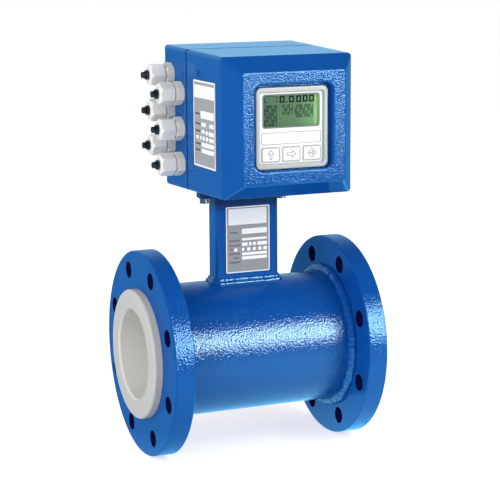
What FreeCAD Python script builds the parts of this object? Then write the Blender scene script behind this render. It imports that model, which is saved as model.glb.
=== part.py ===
"""Flanged electromagnetic flow meter for a 4-inch line, with its converter on the neck.

Frame: X runs along the pipe in the flow direction, Y towards the back and Z up.
The origin is on the pipe axis, half-way between the two flanges. All sizes in mm.
"""
import FreeCAD, Part
import math
import os
from FreeCAD import Placement, Rotation, Vector

X_AXIS = Vector(1, 0, 0)
Y_AXIS = Vector(0, 1, 0)
Z_AXIS = Vector(0, 0, 1)

# ---- Fits and clearances ------------------------------------------------------------
contact_gap = 0.05          # lined, bonded or screwed-in pieces, on the radius
running_gap = 0.15          # slip-on and drop-in pieces, each side
seat_gap = 0.3              # pieces that stand just clear of each other
cut_margin = 1.0            # how far a cutting tool runs past the face it opens

# ---- Measuring tube, flanges and liner ----------------------------------------------
tube_od = 114.3             # 4-inch pipe
tube_wall = 3.6
flange_span = 248.0         # outer face to outer face
flange_od = 228.6
flange_thickness = 22.3
flange_edge_chamfer = 1.0
bolt_edge_distance = 19.05  # bolt circle to the flange's edge
bolt_hole_d = 19.05
bolt_count = 8
liner_wall = 4.0
flare_overhang = 14.85      # flare past the outside of the tube
flare_thickness = 9.5
flare_edge_radius = 3.0

# ---- Coil housing and its welds ------------------------------------------------------
coil_room = 13.85           # tube to the inside of the shell
shell_wall = 3.0
shell_weld_leg = 8.5
shell_weld_crown = 1.1      # how far the bead bulges past a straight fillet
cable_port_d = 16.0         # hole in the shell under the neck

# ---- Field coils, pole shoes and yoke ------------------------------------------------
yoke_thickness = 3.0
yoke_length = 72.0
yoke_slot_d = 13.0          # the harness passes here
coil_slack = 1.65           # between the winding and the yoke
coil_length = 96.0
coil_half_angle = 52.0
coil_window_length = 54.0
coil_window_half_angle = 30.0
coil_corner_radius = 9.0

# ---- Electrodes ----------------------------------------------------------------------
electrode_head_d = 12.0
electrode_head_thickness = 1.6
electrode_head_recess = 0.1 # below the wall of the bore
electrode_shank_d = 5.0
electrode_tail = 7.8        # shank past the outside of the tube
insulator_body_d = 10.0
insulator_flange_d = 16.0
insulator_flange_thickness = 2.0
electrode_nut_flats = 9.0
electrode_nut_height = 4.0

# ---- Neck ----------------------------------------------------------------------------
neck_width = 75.0
neck_depth = 24.8
neck_corner_radius = 4.0
neck_wall = 3.0
neck_length = 95.8          # crown of the shell to the head plate's underside
neck_weld_height = 3.8      # above the crown of the shell
neck_weld_width = 2.6
neck_weld_foot = 2.6        # how far below the crown the bead follows the curve down
head_plate_thickness = 7.0
lug_span = 107.2
lug_depth = 26.0
lug_corner_radius = 9.0
neck_gasket_thickness = 1.5
neck_gasket_inset = 0.6
cable_hole_d = 16.0
neck_screw_spacing = 93.2
neck_screw_d = 6.0
neck_screw_head_d = 10.0
neck_screw_head_height = 5.4
neck_screw_length = 20.0
neck_washer_d = 12.0
neck_washer_thickness = 1.2

# ---- Converter housing, a drafted casting in two halves -------------------------------
housing_width = 147.4       # at the front ring, where the bevel starts
housing_height = 147.5
housing_back = 37.6         # from the neck's centre line to the back
housing_depth = 158.9       # back to front ring
housing_draft = 3.8         # each side grows by this much from front ring to back
housing_wall = 4.5
housing_corner_radius = 3.6
housing_pad_height = 3.4    # the foot under the rear half
housing_pad_rise = 12.0     # the foot's full height, up into the terminal space
bevel_inset = 15.6
bevel_depth = 19.2
bevel_edge_radius = 2.6
face_edge_radius = 1.6
back_edge_radius = 3.0
seam_setback = 64.5         # from the back to the middle of the seam
seam_width = 3.0
seam_depth = 2.4            # how far the gasket lies below the surface
housing_screw_inset = 7.6   # screw axis in from the side at the front ring
housing_screw_d = 5.0
housing_screw_head_d = 8.5
housing_screw_head_height = 5.0
housing_screw_sink = 6.0
housing_screw_length = 75.0
screw_boss_d = 12.0
screw_boss_length = 27.0    # in the front half, from the seam
screw_end_clearance = 4.0   # tapped depth past the screw's tip

# ---- Display: recess, bezel, overlay, window and keys ----------------------------------
display_rise = -0.4         # display centre above the housing's centre
recess_width = 88.4
recess_height = 89.8
recess_corner_radius = 9.0
recess_depth = 7.8
recess_edge_radius = 1.8
recess_rise = 1.2           # recess centre above the display's centre
recess_wall = 4.0
seat_wall = 3.0             # casting left behind the bezel
bezel_width = 81.6
bezel_height = 85.0
bezel_corner_radius = 6.0
bezel_edge_radius = 1.2
bezel_sink = 5.8            # bezel front behind the housing's front face
bezel_thickness = 5.3
tray_depth = 3.3
tray_width = 73.6
tray_height = 76.0
tray_corner_radius = 3.5
seat_lip = 1.6              # ledge that carries the bezel, each side
overlay_thickness = 0.5
lcd_width = 64.8
lcd_height = 34.9
lcd_corner_radius = 3.0
lcd_rise = 17.5             # above the display centre
lcd_module_margin = 1.2
lcd_module_extra_height = 4.0
key_width = 20.4
key_height = 15.2
key_corner_radius = 1.5
key_pitch = 23.3
key_drop = 27.5             # below the display centre
key_proud = 0.7             # above the overlay
key_travel = 0.6
key_flange_margin = 0.7
key_flange_thickness = 1.2
dome_base_d = 9.0
dome_tip_d = 5.0
dome_mat_thickness = 1.0
post_inset_x = 4.6          # bezel posts, in from the bezel's edge
post_inset_z = 4.8
post_d = 4.4

# ---- Boards and what they carry ---------------------------------------------------------
board_thickness = 1.6
display_board_gap = 4.86    # bezel back to the display board
display_board_width = 78.0
display_board_height = 80.0
board_screw_d = 2.1
board_screw_head_d = 4.4
board_screw_head_height = 1.6
board_screw_length = 5.0
standoff_d = 6.0
standoff_inset = 1.6        # pillar axis in from the side of the recess
board_side_room = 15.1      # side of the housing at the ring to a board's edge
board_end_room = 17.0
board_corner_radius = 4.0
main_board_distance = 30.3  # standoff length from the recess floor to the main board
power_board_distance = 28.4
processor_side = 24.0
processor_offset = 18.0     # left of the board's middle
chip_width = 16.0
chip_height = 11.0
chip_offset = 21.0          # right of the board's middle
chip_rise = 16.0            # above and below the board's middle
chip_thickness = 2.0
chip_corner_radius = 0.5
ribbon_plug_width = 50.0
ribbon_plug_height = 8.0
ribbon_plug_depth = 9.0
ribbon_plug_drop = 42.0
partition_distance = 31.0
partition_thickness = 1.5
partition_room = 11.1
partition_corner_radius = 14.0
transformer_width = 42.0
transformer_height = 36.0
transformer_depth = 26.0
transformer_core_width = 14.0
capacitor_d = 16.0
capacitor_length = 25.0
terminal_board_side_room = 23.1
terminal_board_height = 92.0
terminal_board_rise = 6.0
terminal_board_gap = 8.1    # back wall to the terminal board
terminal_boss_d = 8.0
terminal_boss_inset = 6.0
terminal_block_width = 84.0
terminal_block_height = 13.0
terminal_block_depth = 14.0
terminal_block_pitch = 40.0
terminal_ways = 8
terminal_screw_d = 5.0
harness_d = 8.0
harness_bend_radius = 12.0
harness_end_drop = 34.0     # below the housing's centre
grommet_flange_d = 21.0
grommet_flange_thickness = 1.8

# ---- Cable glands ------------------------------------------------------------------------
gland_back_column = 18.1    # distance of the two columns from the neck's centre line
gland_front_column = -9.9
gland_pitch = 38.35
gland_back_rise = 8.15      # centre of the back column above the housing's centre
gland_front_rise = -10.35
gland_per_column = 3
gland_thread_d = 16.0
gland_thread_length = 9.0
gland_hex_flats = 22.6
gland_hex_height = 8.6
gland_hex_chamfer = 0.9
gland_neck_d = 17.6
gland_stub_length = 19.6    # from the seat to the end of the nut's thread
gland_bore_d = 12.4
gland_seal_d = 13.8
gland_seal_depth = 6.5
gland_nut_flats = 22.0
gland_nut_start = 10.6
gland_nut_end = 26.8
gland_nut_face_d = 17.6
gland_nut_shoulder = 21.4   # from the seat to where the flats start to round over
gland_nut_hole_d = 10.8
gland_nut_twists = (30, 12, 30, 0, 30, 4)   # each nut as its thread left it, in degrees
spot_face_margin = 0.6
plug_shank_d = 8.0
plug_shank_length = 12.0
plug_flange_d = 10.5
plug_flange_thickness = 3.0
plug_stem_d = 7.0
plug_stem_length = 4.2
plug_dimple_d = 3.0
plug_dimple_depth = 1.0

# ---- Nameplates -----------------------------------------------------------------------------
plate_thickness = 0.8
plate_corner_radius = 1.5
neck_plate_width = 52.6
neck_plate_height = 74.8
neck_plate_drop = 48.3      # plate centre below the top of the neck
side_plate_length = 58.7
side_plate_height = 91.1
side_plate_setback = 43.4   # plate centre behind the front ring
side_plate_rise = 0.5

# ---- Worked-out sizes ---------------------------------------------------------------------------
tube_r = tube_od / 2
tube_inner_r = tube_r - tube_wall
liner_r = tube_inner_r - contact_gap
liner_bore_r = liner_r - liner_wall
flare_r = tube_r + flare_overhang
electrode_head_y = liner_bore_r + electrode_head_recess
flange_face = flange_span / 2
flange_back = flange_face - flange_thickness
bolt_circle_r = flange_od / 2 - bolt_edge_distance
shell_inner_r = tube_r + coil_room
shell_r = shell_inner_r + shell_wall
yoke_r = shell_inner_r - seat_gap
yoke_inner_r = yoke_r - yoke_thickness
coil_inner_r = tube_r + seat_gap
coil_outer_r = yoke_inner_r - coil_slack

neck_top = shell_r + neck_length
head_plate_top = neck_top + head_plate_thickness
pad_bottom = head_plate_top + neck_gasket_thickness
pad_top = pad_bottom + housing_pad_rise
ring_y = housing_back - housing_depth
face_y = ring_y - bevel_depth
seam_y = housing_back - seam_setback
front_rim_y = seam_y - seam_width / 2
rear_rim_y = seam_y + seam_width / 2
housing_z = pad_bottom + housing_pad_height + housing_height / 2 + housing_draft
back_wall_y = housing_back - housing_wall
display_z = housing_z + display_rise
recess_z = display_z + recess_rise
board_width = housing_width - 2 * board_side_room
board_height = housing_height - 2 * board_end_room
partition_width = housing_width - 2 * partition_room
partition_height = housing_height - 2 * partition_room
terminal_board_width = housing_width - 2 * terminal_board_side_room
standoff_x = recess_width / 2 - standoff_inset
standoff_z = recess_height / 2 - standoff_inset

recess_floor_y = face_y + recess_depth
bezel_front_y = face_y + bezel_sink
bezel_back_y = bezel_front_y + bezel_thickness
tray_y = bezel_front_y + tray_depth
overlay_front_y = tray_y - overlay_thickness
seat_back_y = bezel_back_y + seat_wall
lcd_z = display_z + lcd_rise
key_z = display_z - key_drop
post_x = bezel_width / 2 - post_inset_x
post_z = bezel_height / 2 - post_inset_z
display_board_y = bezel_back_y + display_board_gap
main_board_y = seat_back_y + main_board_distance
power_board_y = main_board_y + board_thickness + power_board_distance
partition_y = power_board_y + board_thickness + partition_distance
terminal_board_back_y = back_wall_y - terminal_board_gap
terminal_board_y = terminal_board_back_y - board_thickness
terminal_board_z = housing_z + terminal_board_rise
harness_end_z = housing_z - harness_end_drop


# ---- General solids --------------------------------------------------------------------------------
def cylinder(diameter, start, axis, length):
    return Part.makeCylinder(diameter / 2, length, start, axis)


def pipe(outer_d, inner_d, start, axis, length):
    bore = cylinder(inner_d, start - axis * cut_margin, axis, length + 2 * cut_margin)
    return cylinder(outer_d, start, axis, length).cut(bore)


def rounded_rectangle(centre, across, up, width, height, radius):
    """Closed wire of four sides and four corner arcs in the plane of across and up."""
    wire = []
    corner_points = []
    for quarter in range(4):
        turn = math.radians(90 * quarter - 45)
        side_x = math.copysign(width / 2 - radius, math.cos(turn))
        side_z = math.copysign(height / 2 - radius, math.sin(turn))
        arc = []
        for step in (-45, 0, 45):
            angle = turn + math.radians(step)
            reach_x = side_x + radius * math.cos(angle)
            reach_z = side_z + radius * math.sin(angle)
            arc.append(centre + across * reach_x + up * reach_z)
        corner_points.append(arc)
    for quarter in range(4):
        arc = corner_points[quarter]
        following = corner_points[(quarter + 1) % 4]
        wire.append(Part.Arc(arc[0], arc[1], arc[2]).toShape())
        wire.append(Part.LineSegment(arc[2], following[0]).toShape())
    return Part.Wire(wire)


def plan_block(width, depth, radius, bottom, top, centre=Vector(0, 0, 0)):
    """Upright block with a rounded-rectangle plan."""
    base = Vector(centre.x, centre.y, bottom)
    outline = rounded_rectangle(base, X_AXIS, Y_AXIS, width, depth, radius)
    return Part.Face(outline).extrude(Z_AXIS * (top - bottom))


def front_block(width, height, radius, front, back, centre_z, centre_x=0.0):
    """Block with a rounded-rectangle front, from one depth to another."""
    base = Vector(centre_x, front, centre_z)
    outline = rounded_rectangle(base, X_AXIS, Z_AXIS, width, height, radius)
    return Part.Face(outline).extrude(Y_AXIS * (back - front))


def hexagon(flats, start, axis, length, twist=0):
    """Hexagonal prism, twisted in degrees from where two of its corners are up and down."""
    turn = Rotation(Z_AXIS, axis)
    corners = []
    for corner in range(7):
        angle = math.radians(60 * corner + twist)
        arm = Vector(math.cos(angle), math.sin(angle), 0) * (flats / math.sqrt(3))
        corners.append(start + turn.multVec(arm))
    return Part.Face(Part.makePolygon(corners)).extrude(axis * length)


def turned(profile, start, axis):
    """Solid of revolution from (radius, distance along the axis) points."""
    points = [Vector(radius, 0, distance) for radius, distance in profile]
    section = Part.Face(Part.makePolygon(points + points[:1]))
    solid = section.revolve(Vector(0, 0, 0), Z_AXIS, 360)
    solid.Placement = Placement(start, Rotation(Z_AXIS, axis))
    return solid


def edges_at_depth(shape, depth, reach_x, reach_z, centre_z):
    """Edges that lie in the plane y = depth, at least so far out from the centre."""
    found = []
    for edge in shape.Edges:
        in_plane = all(abs(vertex.Y - depth) < 0.01 for vertex in edge.Vertexes)
        middle = edge.CenterOfMass
        outside = abs(middle.x) > reach_x or abs(middle.z - centre_z) > reach_z
        if in_plane and outside:
            found.append(edge)
    return found


def socket_screw(thread_d, length, head_d, head_height, seat, direction):
    """Hexagon-socket cap screw: seat is the point under its head, direction its shank's."""
    head = cylinder(head_d, seat - direction * head_height, direction, head_height)
    shank = cylinder(thread_d, seat, direction, length)
    socket_start = seat - direction * (head_height + cut_margin)
    socket_depth = head_height * 0.55 + cut_margin
    socket = hexagon(thread_d * 0.8, socket_start, direction, socket_depth)
    return head.fuse(shank).removeSplitter().cut(socket)


# ---- Flow sensor ------------------------------------------------------------------------------------
def make_liner():
    """Moulded liner: a sleeve in the tube, flared over both flange faces."""
    length = flange_span + 2 * flare_thickness
    sleeve = cylinder(2 * liner_r, Vector(-length / 2, 0, 0), X_AXIS, length)
    for side in (-1, 1):
        start = Vector(side * flange_face, 0, 0)
        sleeve = sleeve.fuse(cylinder(2 * flare_r, start, X_AXIS * side, flare_thickness))
    bore_start = Vector(-length / 2 - cut_margin, 0, 0)
    bore = cylinder(2 * liner_bore_r, bore_start, X_AXIS, length + 2 * cut_margin)
    liner = sleeve.removeSplitter().cut(bore)
    rims = [edge for edge in liner.Edges if abs(abs(edge.CenterOfMass.x) - length / 2) < 0.01]
    liner = liner.makeFillet(flare_edge_radius, rims)
    for side in (-1, 1):
        pocket_d = electrode_head_d + 2 * contact_gap
        pocket_end = electrode_head_y + electrode_head_thickness
        liner = liner.cut(cylinder(pocket_d, Vector(0, 0, 0), Y_AXIS * side, pocket_end))
        hole_d = electrode_shank_d + 2 * contact_gap
        liner = liner.cut(cylinder(hole_d, Vector(0, 0, 0), Y_AXIS * side, liner_r + cut_margin))
    return liner


def make_measuring_tube():
    """Non-magnetic tube through both flanges, drilled for the electrode bushes."""
    tube = pipe(tube_od, 2 * tube_inner_r, Vector(-flange_face, 0, 0), X_AXIS, flange_span)
    drill_d = insulator_body_d + 2 * contact_gap
    drill = cylinder(drill_d, Vector(0, -tube_od, 0), Y_AXIS, 2 * tube_od)
    return tube.cut(drill)


def make_flange(side):
    """Flat-faced slip-on flange; its holes straddle the upright centre line."""
    start = Vector(side * flange_back, 0, 0)
    axis = X_AXIS * side
    disc = cylinder(flange_od, start, axis, flange_thickness)
    rims = [edge for edge in disc.Edges if isinstance(edge.Curve, Part.Circle)]
    disc = disc.makeChamfer(flange_edge_chamfer, rims)
    bore_d = tube_od + 2 * running_gap
    drill_start = start - axis * cut_margin
    drill_length = flange_thickness + 2 * cut_margin
    disc = disc.cut(cylinder(bore_d, drill_start, axis, drill_length))
    for hole in range(bolt_count):
        angle = 2 * math.pi * (hole + 0.5) / bolt_count
        offset = Vector(0, math.sin(angle), math.cos(angle)) * bolt_circle_r
        disc = disc.cut(cylinder(bolt_hole_d, drill_start + offset, axis, drill_length))
    return disc


def make_coil_housing_shell():
    """Rolled cover tube between the flanges, with the cable port in its crown."""
    length = 2 * flange_back
    shell = pipe(2 * shell_r, 2 * shell_inner_r, Vector(-flange_back, 0, 0), X_AXIS, length)
    return shell.cut(cylinder(cable_port_d, Vector(0, 0, 0), Z_AXIS, 2 * shell_r))


def make_shell_weld(side):
    """Fillet bead in the corner of the shell and a flange's back, slightly crowned."""
    toe = Vector(side * (flange_back - shell_weld_leg), 0, shell_r)
    root = Vector(side * flange_back, 0, shell_r)
    top = Vector(side * flange_back, 0, shell_r + shell_weld_leg)
    outward = Vector(-side, 0, 1).normalize()
    crown = (toe + top) * 0.5 + outward * shell_weld_crown
    edges = [Part.LineSegment(toe, root).toShape()]
    edges.append(Part.LineSegment(root, top).toShape())
    edges.append(Part.Arc(top, crown, toe).toShape())
    return Part.Face(Part.Wire(edges)).revolve(Vector(0, 0, 0), X_AXIS, 360)


def saddle(inner_r, outer_r, length, half_angle):
    """Sector of a tube about the pipe axis, centred on the top."""
    corners = []
    for x, z in ((-1, inner_r), (1, inner_r), (1, outer_r), (-1, outer_r), (-1, inner_r)):
        corners.append(Vector(x * length / 2, 0, z))
    section = Part.Face(Part.makePolygon(corners))
    section.rotate(Vector(0, 0, 0), X_AXIS, -half_angle)
    return section.revolve(Vector(0, 0, 0), X_AXIS, 2 * half_angle)


def flipped(shape):
    """The same piece on the underside of the tube."""
    copy = shape.copy()
    copy.rotate(Vector(0, 0, 0), X_AXIS, 180)
    return copy


def make_coil():
    """Saddle-shaped field coil, wound round the window for its pole shoe."""
    thickness = coil_outer_r - coil_inner_r
    coil = saddle(coil_inner_r, coil_outer_r, coil_length, coil_half_angle)
    middle_r = (coil_inner_r + coil_outer_r) / 2
    corners = []
    for edge in coil.Edges:
        spot = edge.CenterOfMass
        if abs(math.hypot(spot.y, spot.z) - middle_r) < 0.01 and edge.Length < thickness + 0.01:
            corners.append(edge)
    coil = coil.makeFillet(coil_corner_radius, corners)
    window = saddle(coil_inner_r - cut_margin, coil_outer_r + cut_margin, coil_window_length,
                    coil_window_half_angle)
    return coil.cut(window)


def make_pole_shoe():
    """Iron shoe that fills the coil's window from the tube to the yoke."""
    inner_r = tube_r + contact_gap
    outer_r = yoke_inner_r - contact_gap
    play = math.degrees(seat_gap / inner_r)
    return saddle(inner_r, outer_r, coil_window_length - 2 * seat_gap, coil_window_half_angle - play)


def make_yoke():
    """Sheet-iron ring that closes the magnetic circuit inside the shell."""
    start = Vector(-yoke_length / 2, 0, 0)
    ring = pipe(2 * yoke_r, 2 * yoke_inner_r, start, X_AXIS, yoke_length)
    return ring.cut(cylinder(yoke_slot_d, Vector(0, 0, 0), Z_AXIS, 2 * shell_r))


def make_electrode(side):
    """Turned electrode: its head lies in the liner, its shank runs out through the tube."""
    head_r = electrode_head_d / 2
    shank_r = electrode_shank_d / 2
    head_end = electrode_head_y + electrode_head_thickness
    tail = tube_r + electrode_tail
    profile = [(0, electrode_head_y), (head_r, electrode_head_y), (head_r, head_end),
               (shank_r, head_end), (shank_r, tail), (0, tail)]
    return turned(profile, Vector(0, 0, 0), Y_AXIS * side)


def make_insulator(side):
    """Flanged bush that keeps the electrode clear of the steel tube."""
    bore_r = electrode_shank_d / 2 + contact_gap
    body_r = insulator_body_d / 2
    flange_r = insulator_flange_d / 2
    body_start = liner_r + contact_gap
    flange_start = tube_r + contact_gap
    flange_end = flange_start + insulator_flange_thickness
    profile = [(bore_r, body_start), (body_r, body_start), (body_r, flange_start),
               (flange_r, flange_start), (flange_r, flange_end), (bore_r, flange_end)]
    return turned(profile, Vector(0, 0, 0), Y_AXIS * side)


def make_electrode_nut(side):
    """Hexagon nut that pulls the electrode's head into the liner."""
    start = Vector(0, side * (tube_r + contact_gap + insulator_flange_thickness), 0)
    axis = Y_AXIS * side
    nut = hexagon(electrode_nut_flats, start, axis, electrode_nut_height)
    bore_d = electrode_shank_d + 2 * contact_gap
    drill = cylinder(bore_d, start - axis * cut_margin, axis, electrode_nut_height + 2 * cut_margin)
    return nut.cut(drill)


# ---- Neck ---------------------------------------------------------------------------------------------
def shell_body():
    return cylinder(2 * shell_r, Vector(-flange_span, 0, 0), X_AXIS, 2 * flange_span)


def make_neck_column():
    """Rectangular tube, coped at its foot to sit astride the shell."""
    column = plan_block(neck_width, neck_depth, neck_corner_radius, 0, neck_top)
    hollow = plan_block(neck_width - 2 * neck_wall, neck_depth - 2 * neck_wall,
                        neck_corner_radius - neck_wall, -cut_margin, neck_top + cut_margin)
    return column.cut(hollow).cut(shell_body())


def make_neck_weld():
    """Bead round the coped foot: two tapered steps that follow the shell down."""
    levels = [(shell_r - neck_weld_foot, neck_weld_width + 1.5),
              (shell_r + neck_weld_height * 0.45, neck_weld_width * 0.75),
              (shell_r + neck_weld_height, neck_weld_width * 0.15)]
    outlines = []
    for height, spread in levels:
        outlines.append(rounded_rectangle(Vector(0, 0, height), X_AXIS, Y_AXIS,
                                          neck_width + 2 * spread, neck_depth + 2 * spread,
                                          neck_corner_radius + spread))
    lower = Part.makeLoft(outlines[:2], True, True)
    upper = Part.makeLoft(outlines[1:], True, True)
    column = plan_block(neck_width, neck_depth, neck_corner_radius, 0, neck_top)
    return lower.fuse(upper).cut(shell_body()).cut(column)


def head_outline(inset, bottom, top):
    """Plan of the neck's head: the column's outline with a lug at each end."""
    lugs = plan_block(lug_span - 2 * inset, lug_depth - 2 * inset, lug_corner_radius - inset,
                      bottom, top)
    centre = plan_block(neck_width - 2 * inset, neck_depth - 2 * inset,
                        neck_corner_radius - inset, bottom, top)
    return lugs.fuse(centre).removeSplitter()


def drilled_for_neck_screws(shape, hole_d, bottom, top):
    for side in (-1, 1):
        start = Vector(side * neck_screw_spacing / 2, 0, bottom)
        shape = shape.cut(cylinder(hole_d, start, Z_AXIS, top - bottom))
    return shape


def make_head_plate():
    """Plate on top of the column, with a drilled lug at each end."""
    plate = head_outline(0, neck_top, head_plate_top)
    drill_bottom = neck_top - cut_margin
    drill_top = head_plate_top + cut_margin
    plate = drilled_for_neck_screws(plate, neck_screw_d + 4 * running_gap, drill_bottom, drill_top)
    hole_start = Vector(0, 0, drill_bottom)
    return plate.cut(cylinder(cable_hole_d, hole_start, Z_AXIS, drill_top - drill_bottom))


def make_neck_gasket():
    """Flat gasket between the head plate and the foot of the housing."""
    gasket = head_outline(neck_gasket_inset, head_plate_top, pad_bottom)
    drill_bottom = head_plate_top - cut_margin
    drill_top = pad_bottom + cut_margin
    gasket = drilled_for_neck_screws(gasket, neck_screw_d + 4 * running_gap, drill_bottom, drill_top)
    hole_start = Vector(0, 0, drill_bottom)
    return gasket.cut(cylinder(cable_hole_d, hole_start, Z_AXIS, drill_top - drill_bottom))


def make_neck_screw(side):
    seat = Vector(side * neck_screw_spacing / 2, 0, neck_top - neck_washer_thickness)
    return socket_screw(neck_screw_d, neck_screw_length, neck_screw_head_d,
                        neck_screw_head_height, seat, Z_AXIS)


def make_neck_washer(side):
    start = Vector(side * neck_screw_spacing / 2, 0, neck_top - neck_washer_thickness)
    return pipe(neck_washer_d, neck_screw_d + 2 * running_gap, start, Z_AXIS, neck_washer_thickness)


# ---- Converter housing ------------------------------------------------------------------------------------
def draft_at(depth):
    """How much each side has grown at this depth, from the front ring backwards."""
    return housing_draft * (depth - ring_y) / housing_depth


def housing_section(depth, inset):
    """Outline of the drafted box at a depth, drawn in by the same inset on all sides."""
    grow = 2 * (draft_at(depth) - inset)
    radius = max(housing_corner_radius - inset, 1.0)
    return rounded_rectangle(Vector(0, depth, housing_z), X_AXIS, Z_AXIS,
                             housing_width + grow, housing_height + grow, radius)


def side_wall_x(depth):
    return housing_width / 2 + draft_at(depth)


def housing_screw_spots():
    spots = []
    for side_x in (-1, 1):
        for side_z in (-1, 1):
            spots.append((side_x * (housing_width / 2 - housing_screw_inset),
                          housing_z + side_z * (housing_height / 2 - housing_screw_inset)))
    return spots


def make_screw_boss(x, z, start, length):
    """Boss for a housing screw, filled out into the corner of the walls behind it."""
    boss = cylinder(screw_boss_d, Vector(x, start, z), Y_AXIS, length)
    reach = draft_at(seam_y) + housing_screw_inset - housing_wall / 2
    side_x = math.copysign(1, x)
    side_z = math.copysign(1, z - housing_z)
    corner = Vector(x + min(side_x, 0) * reach, start, z + min(side_z, 0) * reach)
    return boss.fuse(Part.makeBox(reach, length, reach, corner))


def make_front_solid():
    """Outside of the front half: a drafted box with a hipped bevel round its face."""
    box = Part.makeLoft([housing_section(front_rim_y, 0), housing_section(ring_y, 0)], True, True)
    face_outline = rounded_rectangle(Vector(0, face_y, housing_z), X_AXIS, Z_AXIS,
                                     housing_width - 2 * bevel_inset,
                                     housing_height - 2 * bevel_inset, housing_corner_radius)
    bevel = Part.makeLoft([housing_section(ring_y, 0), face_outline], True, True)
    solid = box.fuse(bevel)
    ring_edges = edges_at_depth(solid, ring_y, 0, 0, housing_z)
    solid = solid.makeFillet(bevel_edge_radius, ring_edges)
    face_edges = edges_at_depth(solid, face_y, 0, 0, housing_z)
    return solid.makeFillet(face_edge_radius, face_edges)


def make_front_cavity():
    """Room for the electronics: the outside drawn in by the wall, bevel included."""
    bevel_turn = math.atan2(bevel_inset, bevel_depth)
    ring_inner_y = ring_y + housing_wall * math.tan(bevel_turn / 2)
    face_shift = housing_wall * math.tan((math.pi / 2 - bevel_turn) / 2)
    inset = bevel_inset + face_shift
    face_outline = rounded_rectangle(Vector(0, face_y + housing_wall, housing_z), X_AXIS, Z_AXIS,
                                     housing_width - 2 * inset, housing_height - 2 * inset, 2.0)
    mouth = housing_section(front_rim_y + cut_margin, housing_wall)
    ring = housing_section(ring_inner_y, housing_wall)
    box = Part.makeLoft([mouth, ring], True, True)
    return box.fuse(Part.makeLoft([ring, face_outline], True, True))


def make_front_housing():
    """Front casting: bevelled face, stepped display recess and four tapped bosses."""
    casting = make_front_solid().cut(make_front_cavity())
    tub = front_block(recess_width + 2 * recess_wall, recess_height + 2 * recess_wall,
                      recess_corner_radius + recess_wall, face_y + housing_wall / 2, seat_back_y,
                      recess_z)
    casting = casting.fuse(tub)
    boss_y = front_rim_y - screw_boss_length
    for x, z in housing_screw_spots():
        casting = casting.fuse(make_screw_boss(x, z, boss_y, screw_boss_length))
    casting = casting.cut(front_block(recess_width, recess_height, recess_corner_radius,
                                      face_y - cut_margin, recess_floor_y, recess_z))
    rim = edges_at_depth(casting, face_y, 0, 0, recess_z)
    rim = [edge for edge in rim if abs(edge.CenterOfMass.x) < recess_width / 2 + 0.01
           and abs(edge.CenterOfMass.z - recess_z) < recess_height / 2 + 0.01]
    casting = casting.makeFillet(recess_edge_radius, rim)
    casting = casting.cut(front_block(bezel_width + 2 * running_gap, bezel_height + 2 * running_gap,
                                      bezel_corner_radius + running_gap,
                                      recess_floor_y - cut_margin, bezel_back_y, display_z))
    casting = casting.cut(front_block(bezel_width - 2 * seat_lip, bezel_height - 2 * seat_lip,
                                      bezel_corner_radius - seat_lip,
                                      bezel_back_y - cut_margin, seat_back_y + cut_margin,
                                      display_z))
    tip_y = housing_back - housing_screw_sink - housing_screw_length
    tapped_end = tip_y - screw_end_clearance
    for x, z in housing_screw_spots():
        casting = casting.cut(cylinder(housing_screw_d + 2 * contact_gap, Vector(x, tapped_end, z),
                                       Y_AXIS, front_rim_y + cut_margin - tapped_end))
    return casting


def gland_spots():
    """Centres of the cable glands: two staggered columns on the inlet side."""
    spots = []
    for depth, rise in ((gland_back_column, gland_back_rise),
                        (gland_front_column, gland_front_rise)):
        for row in range(gland_per_column):
            level = rise + gland_pitch * ((gland_per_column - 1) / 2 - row)
            seat_x = -side_wall_x(depth - spot_face_radius())
            spots.append(Vector(seat_x, depth, housing_z + level))
    return spots


def spot_face_radius():
    return gland_hex_flats / math.sqrt(3) + spot_face_margin


def make_rear_housing():
    """Rear casting: terminal space with a foot for the neck and six gland holes."""
    outside = Part.makeLoft([housing_section(rear_rim_y, 0), housing_section(housing_back, 0)],
                            True, True)
    outside = outside.makeFillet(back_edge_radius,
                                 edges_at_depth(outside, housing_back, 0, 0, housing_z))
    cavity = Part.makeLoft([housing_section(rear_rim_y - cut_margin, housing_wall),
                            housing_section(back_wall_y, housing_wall)], True, True)
    casting = outside.cut(cavity)
    foot = head_outline(0, pad_bottom, pad_top)
    casting = casting.fuse(foot)
    for x, z in housing_screw_spots():
        casting = casting.fuse(make_screw_boss(x, z, rear_rim_y,
                                               back_wall_y + cut_margin - rear_rim_y))
    for x, z in terminal_screw_spots():
        casting = casting.fuse(cylinder(terminal_boss_d, Vector(x, terminal_board_back_y, z), Y_AXIS,
                                        terminal_board_gap + cut_margin))
    casting = drill_rear_housing(casting.removeSplitter())
    return casting


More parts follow.
